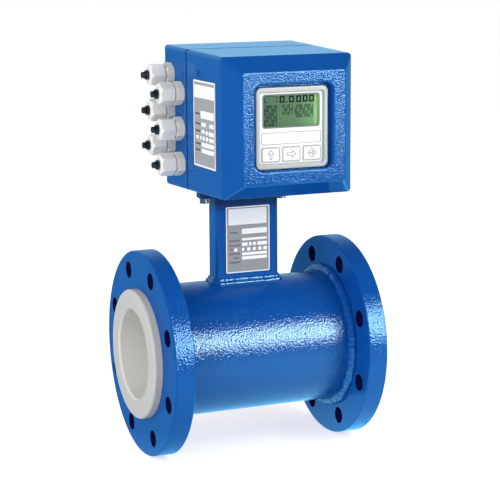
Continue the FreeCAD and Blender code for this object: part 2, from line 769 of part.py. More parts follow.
def drill_rear_housing(casting):
    """Machining of the rear casting: screw, cable and gland holes with their spot faces."""
    for x, z in housing_screw_spots():
        through = cylinder(housing_screw_d + 2 * running_gap,
                           Vector(x, rear_rim_y - cut_margin, z), Y_AXIS, housing_depth)
        sink = cylinder(housing_screw_head_d + 4 * running_gap,
                        Vector(x, housing_back - housing_screw_sink, z), Y_AXIS, housing_depth)
        casting = casting.cut(through).cut(sink)
    for x, z in terminal_screw_spots():
        pilot = cylinder(board_screw_d + 2 * contact_gap,
                         Vector(x, terminal_board_y, z), Y_AXIS, board_screw_length + cut_margin)
        casting = casting.cut(pilot)
    tapped_top = neck_top - neck_washer_thickness + neck_screw_length + cut_margin
    casting = drilled_for_neck_screws(casting, neck_screw_d + 2 * contact_gap,
                                      pad_bottom - cut_margin, tapped_top)
    casting = casting.cut(cylinder(cable_hole_d, Vector(0, 0, pad_bottom - cut_margin), Z_AXIS,
                                   housing_pad_rise + 2 * cut_margin))
    for seat in gland_spots():
        casting = casting.cut(cylinder(2 * spot_face_radius(), seat, X_AXIS * -1, housing_wall))
        hole_d = gland_thread_d + 2 * contact_gap
        hole_start = seat - X_AXIS * cut_margin
        casting = casting.cut(cylinder(hole_d, hole_start, X_AXIS, 2 * housing_wall + cut_margin))
    return casting


def make_housing_gasket():
    """Gasket in the seam, set back from the surface so that a groove runs all round."""
    outer = Part.makeLoft([housing_section(front_rim_y, seam_depth),
                           housing_section(rear_rim_y, seam_depth)], True, True)
    inner = Part.makeLoft([housing_section(front_rim_y - cut_margin, housing_wall),
                           housing_section(rear_rim_y + cut_margin, housing_wall)], True, True)
    return outer.cut(inner)


def make_housing_screw(x, z):
    seat = Vector(x, housing_back - housing_screw_sink, z)
    return socket_screw(housing_screw_d, housing_screw_length, housing_screw_head_d,
                        housing_screw_head_height, seat, Y_AXIS * -1)


# ---- Display unit ------------------------------------------------------------------------------------------
def key_places():
    return [-key_pitch, 0.0, key_pitch]


def panel_openings(play, front, back):
    """Cutters for the display window and the three keys, with the same play all round."""
    cutters = [front_block(lcd_width, lcd_height, lcd_corner_radius, front, back, lcd_z)]
    for x in key_places():
        cutters.append(front_block(key_width + 2 * play, key_height + 2 * play,
                                   key_corner_radius + play, front, back, key_z, x))
    return cutters


def post_spots():
    return [(side_x * post_x, display_z + side_z * post_z) for side_x in (-1, 1)
            for side_z in (-1, 1)]


def make_display_bezel():
    """Moulded frame with a sunk tray for the overlay and four posts for the board."""
    bezel = front_block(bezel_width, bezel_height, bezel_corner_radius, bezel_front_y,
                        bezel_back_y, display_z)
    bezel = bezel.makeFillet(bezel_edge_radius,
                             edges_at_depth(bezel, bezel_front_y, 0, 0, display_z))
    bezel = bezel.cut(front_block(tray_width, tray_height, tray_corner_radius,
                                  bezel_front_y - cut_margin, tray_y, display_z))
    for cutter in panel_openings(seat_gap, tray_y - cut_margin, bezel_back_y + cut_margin):
        bezel = bezel.cut(cutter)
    for x, z in post_spots():
        bezel = bezel.fuse(cylinder(post_d, Vector(x, bezel_back_y, z), Y_AXIS, display_board_gap))
    pilot_y = display_board_y + board_thickness - board_screw_length - contact_gap
    for x, z in post_spots():
        bezel = bezel.cut(cylinder(board_screw_d + 2 * contact_gap, Vector(x, pilot_y, z), Y_AXIS,
                                   board_screw_length))
    return bezel


def make_overlay():
    """Printed overlay in the tray, cut out for the window and the keys."""
    overlay = front_block(tray_width - 2 * running_gap, tray_height - 2 * running_gap,
                          tray_corner_radius - running_gap, overlay_front_y, tray_y, display_z)
    for cutter in panel_openings(seat_gap, overlay_front_y - cut_margin, tray_y + cut_margin):
        overlay = overlay.cut(cutter)
    return overlay


def make_lcd_window():
    """Clear pane, flush with the overlay."""
    return front_block(lcd_width - 2 * running_gap, lcd_height - 2 * running_gap,
                       lcd_corner_radius - running_gap, overlay_front_y, bezel_back_y, lcd_z)


def make_lcd_module():
    """Liquid-crystal cell in its frame, between the window and the display board."""
    return front_block(lcd_width + 2 * lcd_module_margin, lcd_height + lcd_module_extra_height, 1.0,
                       bezel_back_y + contact_gap, display_board_y, lcd_z)


def make_key(x):
    """Key cap with a stop flange behind the tray."""
    flange_y = bezel_back_y + seat_gap
    cap = front_block(key_width, key_height, key_corner_radius, overlay_front_y - key_proud,
                      flange_y, key_z, x)
    flange = front_block(key_width + 2 * key_flange_margin, key_height + 2 * key_flange_margin,
                         key_corner_radius, flange_y, flange_y + key_flange_thickness, key_z, x)
    return cap.fuse(flange).removeSplitter()


def make_dome_mat():
    """Silicone mat with one collapsing dome under each key."""
    base_y = display_board_y - dome_mat_thickness
    key_back_y = bezel_back_y + seat_gap + key_flange_thickness
    tip_y = key_back_y + key_travel + seat_gap
    width = 2 * key_pitch + key_width
    mat = front_block(width, key_height, key_corner_radius, base_y, display_board_y, key_z)
    for x in key_places():
        dome = Part.makeCone(dome_base_d / 2, dome_tip_d / 2, base_y - tip_y,
                             Vector(x, base_y, key_z), Y_AXIS * -1)
        mat = mat.fuse(dome)
    return mat.removeSplitter()


def make_display_board():
    board = front_block(display_board_width, display_board_height, board_corner_radius,
                        display_board_y, display_board_y + board_thickness, display_z)
    for x, z in post_spots():
        board = board.cut(cylinder(board_screw_d + 2 * running_gap,
                                   Vector(x, display_board_y - cut_margin, z), Y_AXIS,
                                   board_thickness + 2 * cut_margin))
    return board


# ---- Electronics -----------------------------------------------------------------------------------------------
def board_screw(x, z, head_y, towards):
    """Pan-head board screw: head_y is the face under its head, towards its shank's direction."""
    seat = Vector(x, head_y, z)
    axis = Y_AXIS * towards
    head = cylinder(board_screw_head_d, seat - axis * board_screw_head_height, axis,
                    board_screw_head_height)
    return head.fuse(cylinder(board_screw_d, seat, axis, board_screw_length)).removeSplitter()


def standoff_spots():
    return [(side_x * standoff_x, display_z + side_z * standoff_z)
            for side_x in (-1, 1) for side_z in (-1, 1)]


def terminal_screw_spots():
    half_x = terminal_board_width / 2 - terminal_boss_inset
    half_z = terminal_board_height / 2 - terminal_boss_inset
    return [(side_x * half_x, terminal_board_z + side_z * half_z)
            for side_x in (-1, 1) for side_z in (-1, 1)]


def make_standoffs():
    """Three sets of four pillars: recess floor, main board, power board, partition."""
    pillars = []
    for start, length in ((seat_back_y, main_board_distance),
                          (main_board_y + board_thickness, power_board_distance),
                          (power_board_y + board_thickness, partition_distance)):
        for x, z in standoff_spots():
            pillars.append(cylinder(standoff_d, Vector(x, start, z), Y_AXIS, length))
    pilot_y = partition_y + partition_thickness - board_screw_length - contact_gap
    drilled = []
    for pillar in pillars:
        for x, z in standoff_spots():
            pilot = cylinder(board_screw_d + 2 * contact_gap, Vector(x, pilot_y, z), Y_AXIS,
                             board_screw_length + cut_margin)
            pillar = pillar.cut(pilot)
        drilled.append(pillar)
    return drilled


def make_board(front):
    return front_block(board_width, board_height, board_corner_radius, front,
                       front + board_thickness, display_z)


def make_main_board():
    """Signal board with its processor, converter chip and plug soldered on the back."""
    board = make_board(main_board_y)
    back = main_board_y + board_thickness
    parts = [(-processor_offset, chip_rise, processor_side, processor_side, chip_thickness),
             (chip_offset, chip_rise, chip_width, chip_height, chip_thickness),
             (chip_offset, -chip_rise, chip_width, chip_height, chip_thickness),
             (0, -ribbon_plug_drop, ribbon_plug_width, ribbon_plug_height, ribbon_plug_depth)]
    for x, z, width, height, depth in parts:
        chip = front_block(width, height, chip_corner_radius, back, back + depth, display_z + z, x)
        board = board.fuse(chip)
    return board.removeSplitter()


def make_transformer():
    """Mains transformer on the power board: stacked core with the bobbin round its limb."""
    front = power_board_y + board_thickness
    x = -board_width / 4
    core = front_block(transformer_width, transformer_height, 0.8, front,
                       front + transformer_depth * 0.7, display_z, x)
    bobbin = front_block(transformer_width - transformer_core_width,
                         transformer_height - transformer_core_width, 2.0, front,
                         front + transformer_depth, display_z, x)
    return core.fuse(bobbin).removeSplitter()


def make_capacitors():
    front = power_board_y + board_thickness
    cans = []
    for row in (-1, 0, 1):
        centre = Vector(board_width / 4, front, display_z + row * (capacitor_d + 2))
        cans.append(cylinder(capacitor_d, centre, Y_AXIS, capacitor_length))
    return cans


def make_partition():
    """Sheet that closes the electronics off from the terminal space."""
    sheet = front_block(partition_width, partition_height, partition_corner_radius, partition_y,
                        partition_y + partition_thickness, display_z)
    for x, z in standoff_spots():
        sheet = sheet.cut(cylinder(board_screw_d + 2 * running_gap,
                                   Vector(x, partition_y - cut_margin, z), Y_AXIS,
                                   partition_thickness + 2 * cut_margin))
    return sheet


def make_terminal_board():
    board = front_block(terminal_board_width, terminal_board_height, board_corner_radius,
                        terminal_board_y, terminal_board_back_y, terminal_board_z)
    for x, z in terminal_screw_spots():
        board = board.cut(cylinder(board_screw_d + 2 * running_gap,
                                   Vector(x, terminal_board_y - cut_margin, z), Y_AXIS,
                                   board_thickness + 2 * cut_margin))
    return board


def make_terminal_block(row):
    """Screw terminal strip: a row of screw wells above a row of wire entries."""
    z = terminal_board_z + row * terminal_block_pitch / 2
    front = terminal_board_y - terminal_block_depth
    block = front_block(terminal_block_width, terminal_block_height, 0.8, front, terminal_board_y, z)
    pitch = terminal_block_width / terminal_ways
    for way in range(terminal_ways):
        x = pitch * (way - (terminal_ways - 1) / 2)
        well = cylinder(terminal_screw_d, Vector(x, front - cut_margin, z), Y_AXIS,
                        terminal_block_depth / 2 + cut_margin)
        entry = cylinder(terminal_screw_d * 0.7, Vector(x, front + terminal_block_depth * 0.7, z),
                         Z_AXIS * -1, terminal_block_height)
        block = block.cut(well).cut(entry)
    return block


def make_harness():
    """Coil and electrode leads in one sleeve, from the yoke up the neck to the terminals."""
    foot = Vector(0, 0, yoke_inner_r)
    bend_start = Vector(0, 0, harness_end_z - harness_bend_radius)
    bend_end = Vector(0, harness_bend_radius, harness_end_z)
    slant = harness_bend_radius * math.sqrt(0.5)
    bend_middle = Vector(0, harness_bend_radius - slant,
                         harness_end_z - harness_bend_radius + slant)
    path = Part.Wire([Part.LineSegment(foot, bend_start).toShape(),
                      Part.Arc(bend_start, bend_middle, bend_end).toShape(),
                      Part.LineSegment(bend_end, Vector(0, terminal_board_y, harness_end_z)).toShape()])
    section = Part.Wire(Part.makeCircle(harness_d / 2, foot, Z_AXIS))
    return path.makePipeShell([section], True, False)


def make_grommet():
    """Rubber grommet round the harness in the housing's cable hole."""
    bore_r = harness_d / 2 + contact_gap
    body_r = cable_hole_d / 2 - contact_gap
    flange_r = grommet_flange_d / 2
    flange_top = pad_top + grommet_flange_thickness
    profile = [(bore_r, pad_bottom), (body_r, pad_bottom), (body_r, pad_top), (flange_r, pad_top),
               (flange_r, flange_top), (bore_r, flange_top)]
    return turned(profile, Vector(0, 0, 0), Z_AXIS)


# ---- Cable glands --------------------------------------------------------------------------------------------------
def make_gland_body(seat):
    """Gland body: thread in the wall, hexagon on the spot face, stub for the dome nut."""
    axis = X_AXIS * -1
    hex_r = gland_hex_flats / math.sqrt(3)
    low_r = hex_r - gland_hex_chamfer
    neck_r = gland_neck_d / 2
    top = gland_hex_height
    chamfer = gland_hex_chamfer
    envelope = turned([(0, 0), (low_r, 0), (hex_r, chamfer), (hex_r, top - chamfer), (low_r, top),
                       (0, top)], seat, axis)
    base = hexagon(gland_hex_flats, seat, axis, top).common(envelope)
    thread = cylinder(gland_thread_d, seat, X_AXIS, gland_thread_length)
    stub = cylinder(2 * neck_r, seat, axis, gland_stub_length)
    body = base.fuse(thread).fuse(stub)
    inside = seat + X_AXIS * (gland_thread_length + cut_margin)
    bore = cylinder(gland_bore_d, inside, axis,
                    gland_thread_length + gland_stub_length + 2 * cut_margin)
    pocket_start = seat + axis * (gland_stub_length - gland_seal_depth)
    pocket = cylinder(gland_seal_d + 2 * contact_gap, pocket_start, axis,
                      gland_seal_depth + cut_margin)
    return body.removeSplitter().cut(bore).cut(pocket)


def make_gland_nut(seat, twist):
    """Hexagon nut with a rounded nose that presses the seal."""
    axis = X_AXIS * -1
    length = gland_nut_end - gland_nut_start
    start = seat + axis * gland_nut_start
    face_r = gland_nut_face_d / 2
    corner_r = gland_nut_flats / math.sqrt(3)
    nose_rise = corner_r - face_r
    nose_length = gland_nut_end - gland_nut_shoulder
    slant = math.sqrt(0.5)
    section = [Vector(0, 0, gland_nut_start), Vector(corner_r, 0, gland_nut_start),
               Vector(corner_r, 0, gland_nut_shoulder),
               Vector(face_r + nose_rise * slant, 0, gland_nut_shoulder + nose_length * slant),
               Vector(face_r, 0, gland_nut_end), Vector(0, 0, gland_nut_end)]
    edges = [Part.LineSegment(section[0], section[1]).toShape(),
             Part.LineSegment(section[1], section[2]).toShape(),
             Part.Arc(section[2], section[3], section[4]).toShape(),
             Part.LineSegment(section[4], section[5]).toShape(),
             Part.LineSegment(section[5], section[0]).toShape()]
    envelope = Part.Face(Part.Wire(edges)).revolve(Vector(0, 0, 0), Z_AXIS, 360)
    envelope.Placement = Placement(seat, Rotation(Z_AXIS, axis))
    nut = hexagon(gland_nut_flats, start, axis, length, twist).common(envelope)
    thread_length = gland_stub_length - gland_nut_start + contact_gap
    thread = cylinder(gland_neck_d + 2 * contact_gap, start - axis * cut_margin, axis,
                      thread_length + cut_margin)
    hole = cylinder(gland_nut_hole_d, start - axis * cut_margin, axis, length + 2 * cut_margin)
    throat_length = thread_length + (length - thread_length) / 2
    throat = cylinder(gland_seal_d + 2 * contact_gap, start - axis * cut_margin, axis,
                      throat_length + cut_margin)
    return nut.cut(thread).cut(throat).cut(hole)


def make_gland_seal(seat):
    """Rubber sleeve between the body and the dome nut, squeezed onto the plug."""
    axis = X_AXIS * -1
    start_distance = gland_stub_length - gland_seal_depth
    throat = gland_nut_start + (gland_nut_end - gland_nut_start
                                + gland_stub_length - gland_nut_start + contact_gap) / 2
    end_distance = throat - contact_gap
    return pipe(gland_seal_d, plug_shank_d + 2 * contact_gap, seat + axis * start_distance, axis,
                end_distance - start_distance)


def make_gland_plug(seat):
    """Blanking plug: shank in the seal, flange on the nut and a stem with a dimple."""
    axis = X_AXIS * -1
    shank_r = plug_shank_d / 2
    flange_r = plug_flange_d / 2
    stem_r = plug_stem_d / 2
    dimple_r = plug_dimple_d / 2
    flange_start = gland_nut_end + contact_gap
    flange_end = flange_start + plug_flange_thickness
    stem_end = flange_end + plug_stem_length
    shank_start = flange_start - plug_shank_length
    dimple = stem_end - plug_dimple_depth
    profile = [(0, shank_start), (shank_r, shank_start), (shank_r, flange_start),
               (flange_r, flange_start), (flange_r, flange_end), (stem_r, flange_end),
               (stem_r, stem_end), (dimple_r, stem_end), (dimple_r, dimple), (0, dimple)]
    return turned(profile, seat, axis)


# ---- Nameplates ---------------------------------------------------------------------------------------------------------
def make_neck_nameplate():
    """Thin plate on the front of the neck."""
    back = -neck_depth / 2
    return front_block(neck_plate_width, neck_plate_height, plate_corner_radius,
                       back - plate_thickness, back, neck_top - neck_plate_drop)


def make_side_nameplate():
    """Thin plate on the drafted side wall, turned to lie flat on it."""
    centre_y = ring_y + side_plate_setback
    slope = Vector(-housing_draft, housing_depth, 0).normalize()
    outward = Vector(-housing_depth, -housing_draft, 0).normalize()
    centre = Vector(-side_wall_x(centre_y), centre_y, housing_z + side_plate_rise)
    outline = rounded_rectangle(centre, slope, Z_AXIS, side_plate_length, side_plate_height,
                                plate_corner_radius)
    return Part.Face(outline).extrude(outward * plate_thickness)


# ---- Assembly -------------------------------------------------------------------------------------------------------------
def make_board_screws():
    """One size of screw for all boards: display board, partition and terminal board."""
    screws = []
    for x, z in post_spots():
        screws.append(board_screw(x, z, display_board_y + board_thickness, -1))
    for x, z in standoff_spots():
        screws.append(board_screw(x, z, partition_y + partition_thickness, -1))
    for x, z in terminal_screw_spots():
        screws.append(board_screw(x, z, terminal_board_y, 1))
    return screws


def sensor_pieces():
    coil = make_coil()
    pole_shoe = make_pole_shoe()
    return {
        "liner": make_liner(),
        "measuring_tube": make_measuring_tube(),
        "inlet_flange": make_flange(-1),
        "outlet_flange": make_flange(1),
        "coil_housing_shell": make_coil_housing_shell(),
        "shell_weld_beads": Part.makeCompound([make_shell_weld(-1), make_shell_weld(1)]),
        "coil_upper": coil,
        "coil_lower": flipped(coil),
        "pole_shoe_upper": pole_shoe,
        "pole_shoe_lower": flipped(pole_shoe),
        "magnetic_yoke": make_yoke(),
        "electrodes": Part.makeCompound([make_electrode(-1), make_electrode(1)]),
        "electrode_insulators": Part.makeCompound([make_insulator(-1), make_insulator(1)]),
        "electrode_nuts": Part.makeCompound([make_electrode_nut(-1), make_electrode_nut(1)]),
    }


def neck_pieces():
    return {
        "neck_column": make_neck_column(),
        "neck_weld_bead": make_neck_weld(),
        "neck_head_plate": make_head_plate(),
        "neck_gasket": make_neck_gasket(),
        "neck_screws": Part.makeCompound([make_neck_screw(-1), make_neck_screw(1)]),
        "neck_washers": Part.makeCompound([make_neck_washer(-1), make_neck_washer(1)]),
        "neck_nameplate": make_neck_nameplate(),
        "sensor_harness": make_harness(),
        "cable_grommet": make_grommet(),
    }


def converter_pieces():
    pieces = {
        "rear_housing": make_rear_housing(),
        "front_housing": make_front_housing(),
        "housing_gasket": make_housing_gasket(),
        "housing_screws": Part.makeCompound([make_housing_screw(x, z)
                                             for x, z in housing_screw_spots()]),
        "side_nameplate": make_side_nameplate(),
        "display_bezel": make_display_bezel(),
        "display_overlay": make_overlay(),
        "lcd_window": make_lcd_window(),
        "lcd_module": make_lcd_module(),
        "key_dome_mat": make_dome_mat(),
        "display_board": make_display_board(),
        "main_board": make_main_board(),
        "power_board": make_board(power_board_y),
        "transformer": make_transformer(),
        "smoothing_capacitors": Part.makeCompound(make_capacitors()),
        "partition_sheet": make_partition(),
        "board_standoffs": Part.makeCompound(make_standoffs()),
        "board_screws": Part.makeCompound(make_board_screws()),
        "terminal_board": make_terminal_board(),
        "terminal_blocks": Part.makeCompound([make_terminal_block(-1), make_terminal_block(1)]),
    }
    for name, x in zip(("key_up", "key_right", "key_enter"), key_places()):
        pieces[name] = make_key(x)
    return pieces


def gland_pieces():
    pieces = {}
    for number, seat in enumerate(gland_spots(), start=1):
        pieces["gland_body_%d" % number] = make_gland_body(seat)
        twist = gland_nut_twists[(number - 1) % len(gland_nut_twists)]
        pieces["gland_nut_%d" % number] = make_gland_nut(seat, twist)
    pieces["gland_seals"] = Part.makeCompound([make_gland_seal(seat) for seat in gland_spots()])
    pieces["gland_plugs"] = Part.makeCompound([make_gland_plug(seat) for seat in gland_spots()])
    return pieces


os.makedirs("parts", exist_ok=True)
for group in (sensor_pieces(), neck_pieces(), converter_pieces(), gland_pieces()):
    for name, shape in group.items():
        shape.exportStep("parts/" + name + ".step")
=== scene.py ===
import bmesh
import bpy
import math
from mathutils import Euler, Matrix, Vector


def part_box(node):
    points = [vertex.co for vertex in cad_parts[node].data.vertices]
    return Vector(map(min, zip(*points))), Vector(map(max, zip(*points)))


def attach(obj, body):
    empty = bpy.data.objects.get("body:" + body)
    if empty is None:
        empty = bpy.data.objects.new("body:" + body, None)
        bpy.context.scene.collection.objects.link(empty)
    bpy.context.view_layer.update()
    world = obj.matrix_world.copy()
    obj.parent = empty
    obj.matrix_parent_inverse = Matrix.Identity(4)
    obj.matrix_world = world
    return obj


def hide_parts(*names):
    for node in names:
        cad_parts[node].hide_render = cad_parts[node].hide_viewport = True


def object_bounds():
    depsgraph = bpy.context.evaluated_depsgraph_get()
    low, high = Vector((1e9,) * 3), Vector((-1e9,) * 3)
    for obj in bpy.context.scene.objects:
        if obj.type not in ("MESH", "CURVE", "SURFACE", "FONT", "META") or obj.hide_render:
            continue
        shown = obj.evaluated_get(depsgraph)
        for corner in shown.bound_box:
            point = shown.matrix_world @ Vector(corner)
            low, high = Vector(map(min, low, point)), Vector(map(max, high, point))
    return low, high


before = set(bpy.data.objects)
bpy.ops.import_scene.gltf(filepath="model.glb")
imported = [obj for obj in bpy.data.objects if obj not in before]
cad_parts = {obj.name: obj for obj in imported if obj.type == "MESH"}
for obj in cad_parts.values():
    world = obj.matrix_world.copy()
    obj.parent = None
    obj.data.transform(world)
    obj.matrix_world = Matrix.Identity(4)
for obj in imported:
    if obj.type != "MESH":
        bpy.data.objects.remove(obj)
cad_box = [list(corner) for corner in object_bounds()]
MM = 0.001


# ---- Studio: floor, soft light and camera ----------------------------------------------------
# A pale matt floor under the lower edge of the flanges, a soft lamp in front that lights
# the colours, a second one there that only the gloss sees, and a weaker lamp on the left.
def linear(hex_colour):
    """Linear RGBA of an sRGB hex colour."""
    channels = [int(hex_colour[place:place + 2], 16) / 255 for place in (1, 3, 5)]
    return tuple(c / 12.92 if c <= 0.04045 else ((c + 0.055) / 1.055) ** 2.4
                 for c in channels) + (1.0,)


def add(tree, kind, inputs=None, **settings):
    """Adds one node with its settings; an input is a value or another node's socket."""
    node = tree.nodes.new(kind)
    for name, value in settings.items():
        setattr(node, name, value)
    for key, value in (inputs or {}).items():
        if isinstance(value, bpy.types.NodeSocket):
            tree.links.new(value, node.inputs[key])
        else:
            node.inputs[key].default_value = value
    return node


def new_material(name):
    """An empty material and its node tree."""
    material = bpy.data.materials.new(name)
    material.use_nodes = True
    material.node_tree.nodes.clear()
    return material, material.node_tree


def frequency(size_mm):
    """Texture scale for a pattern whose features are this wide, in object metres."""
    return 1.0 / (size_mm * MM)


# Uncoated white paper: quite without shine, and so even that its tone drifts only over
# 27 m. To the gloss of the paint it shows a painted reflection instead: a blue glow, strongest in front
# of the outlet.
floor_material, tree = new_material("matt_paper_floor")
rays = add(tree, "ShaderNodeLightPath")
place = add(tree, "ShaderNodeTexCoord")
grain = add(tree, "ShaderNodeTexNoise", {"Vector": place.outputs["Object"],
                                         "Scale": frequency(27000), "Detail": 2.0})
paper = add(tree, "ShaderNodeMix", {"Factor": grain.outputs["Fac"], "A": linear("#E6E6E5"),
                                    "B": linear("#EBEBEA")}, data_type="RGBA")
matt = add(tree, "ShaderNodeBsdfDiffuse", {"Color": paper.outputs["Result"]})
white_to_lens = add(tree, "ShaderNodeMath", {0: rays.outputs["Is Camera Ray"], 1: 0.62},
                    operation="MULTIPLY")
glow = add(tree, "ShaderNodeEmission", {"Strength": white_to_lens.outputs[0]})
both = add(tree, "ShaderNodeAddShader", {0: matt.outputs[0], 1: glow.outputs[0]})
ahead = add(tree, "ShaderNodeVectorMath", {0: place.outputs["Object"], 1: (0.32, -0.3, 0.0)},
            operation="DISTANCE")
near = add(tree, "ShaderNodeMapRange", {"Value": ahead.outputs["Value"], "From Min": 0.28,
                                        "From Max": 0.62, "To Min": 3.6, "To Max": 0.75})
painted_reflection_glow = add(tree, "ShaderNodeEmission", {"Color": linear("#9ED6FF"),
                                       "Strength": near.outputs[0]})
by_ray = add(tree, "ShaderNodeMixShader", {0: rays.outputs["Is Glossy Ray"], 1: both.outputs[0],
                                           2: painted_reflection_glow.outputs[0]})
add(tree, "ShaderNodeOutputMaterial", {"Surface": by_ray.outputs[0]})

floor_level = cad_box[0][2]
floor_half = 40.0
floor_mesh = bpy.data.meshes.new("studio_floor")
floor_corners = [(x * floor_half, y * floor_half, floor_level)
                 for x, y in ((-1, -1), (1, -1), (1, 1), (-1, 1))]
floor_mesh.from_pydata(floor_corners, [], [(0, 1, 2, 3)])
floor_mesh.materials.append(floor_material)
studio_floor = bpy.data.objects.new("studio_floor", floor_mesh)
bpy.context.collection.objects.link(studio_floor)

world = bpy.data.worlds.new("studio")
bpy.context.scene.world = world
world.use_nodes = True
tree = world.node_tree
tree.nodes.clear()
rays = add(tree, "ShaderNodeLightPath")
ambient = add(tree, "ShaderNodeBackground", {"Color": linear("#FFFFFF"), "Strength": 0.46})
direction = add(tree, "ShaderNodeTexCoord")
split = add(tree, "ShaderNodeSeparateXYZ", {0: direction.outputs["Generated"]})
behind = add(tree, "ShaderNodeMapRange", {"Value": split.outputs["Y"], "From Min": 0.10,
                                          "From Max": 0.65}, interpolation_type="SMOOTHSTEP")
height = add(tree, "ShaderNodeMath", {0: split.outputs["Z"]}, operation="ABSOLUTE")
low = add(tree, "ShaderNodeMapRange", {"Value": height.outputs[0], "From Min": 0.35,
                                       "From Max": 0.85, "To Min": 1.0, "To Max": 0.0},
          interpolation_type="SMOOTHSTEP")
backdrop = add(tree, "ShaderNodeMath", {0: behind.outputs[0], 1: low.outputs[0]},
               operation="MULTIPLY")
room = add(tree, "ShaderNodeMapRange", {"Value": backdrop.outputs[0], "To Min": 0.12, "To Max": 1.05})
reflected = add(tree, "ShaderNodeBackground", {"Color": linear("#E7ECFF"),
                                               "Strength": room.outputs[0]})
seen = add(tree, "ShaderNodeBackground", {"Color": linear("#FFFFFF"), "Strength": 1.0})
in_gloss = add(tree, "ShaderNodeMixShader", {0: rays.outputs["Is Glossy Ray"],
                                             1: ambient.outputs[0], 2: reflected.outputs[0]})
straight = add(tree, "ShaderNodeMath", {0: rays.outputs["Is Camera Ray"],
                                        1: rays.outputs["Is Transmission Ray"]}, operation="MAXIMUM")
surround = add(tree, "ShaderNodeMixShader", {0: straight.outputs[0], 1: in_gloss.outputs[0],
                                             2: seen.outputs[0]})
add(tree, "ShaderNodeOutputWorld", {"Surface": surround.outputs[0]})


def soft_lamp(name, azimuth, elevation, distance, width, height, radiance):
    """Rectangular lamp aimed at the middle; degrees from straight in front, and metres."""
    lamp = bpy.data.lights.new(name, "AREA")
    lamp.shape = "RECTANGLE"
    lamp.size = width
    lamp.size_y = height
    lamp.energy = radiance * math.pi * width * height
    holder = bpy.data.objects.new(name, lamp)
    bpy.context.collection.objects.link(holder)
    turn = Euler((math.radians(90 - elevation), 0, math.radians(azimuth)))
    holder.rotation_euler = turn
    holder.location = Vector((0.0, 0.0, 0.09)) + turn.to_matrix() @ Vector((0, 0, distance))
    return holder


front = soft_lamp("front_softbox", 37, 26, 2.2, 1.2, 1.5, 4.2)
front.visible_glossy = False
shine_lamp = soft_lamp("softbox_in_gloss", 33, 16.85, 4.0, 2.45, 1.9, 26.0)
shine_lamp.visible_diffuse = False
fill = soft_lamp("side_fill", -64, 18, 2.4, 2.4, 2.4, 2.7)
fill.visible_glossy = False

# A long lens from the left, a little above the pipe.
camera_data = bpy.data.cameras.new("camera")
camera_data.sensor_width = 36.0
camera_data.lens = 120.296
camera = bpy.data.objects.new("camera", camera_data)
bpy.context.collection.objects.link(camera)
camera_azimuth = -22.66
camera_elevation = 10.817
camera_roll = -0.365
camera_distance = 1.8807
aim = Vector((0.00791, 0.0, 0.10608))
camera_turn = Euler((math.radians(90 - camera_elevation), 0, math.radians(camera_azimuth))).to_matrix()
camera.matrix_world = (Matrix.Translation(aim + camera_turn @ Vector((0, 0, camera_distance)))
                       @ camera_turn.to_4x4() @ Matrix.Rotation(math.radians(camera_roll), 4, "Z"))
bpy.context.scene.camera = camera
bpy.context.scene.view_settings.view_transform = "Standard"


# ---- Flanges, shell and neck -----------------------------------------------------------------
# Steel plate flanges, a rolled cover tube and a rectangular neck, welded together and
# sprayed in one go with a thick, glossy blue two-pack enamel that dries with orange peel.

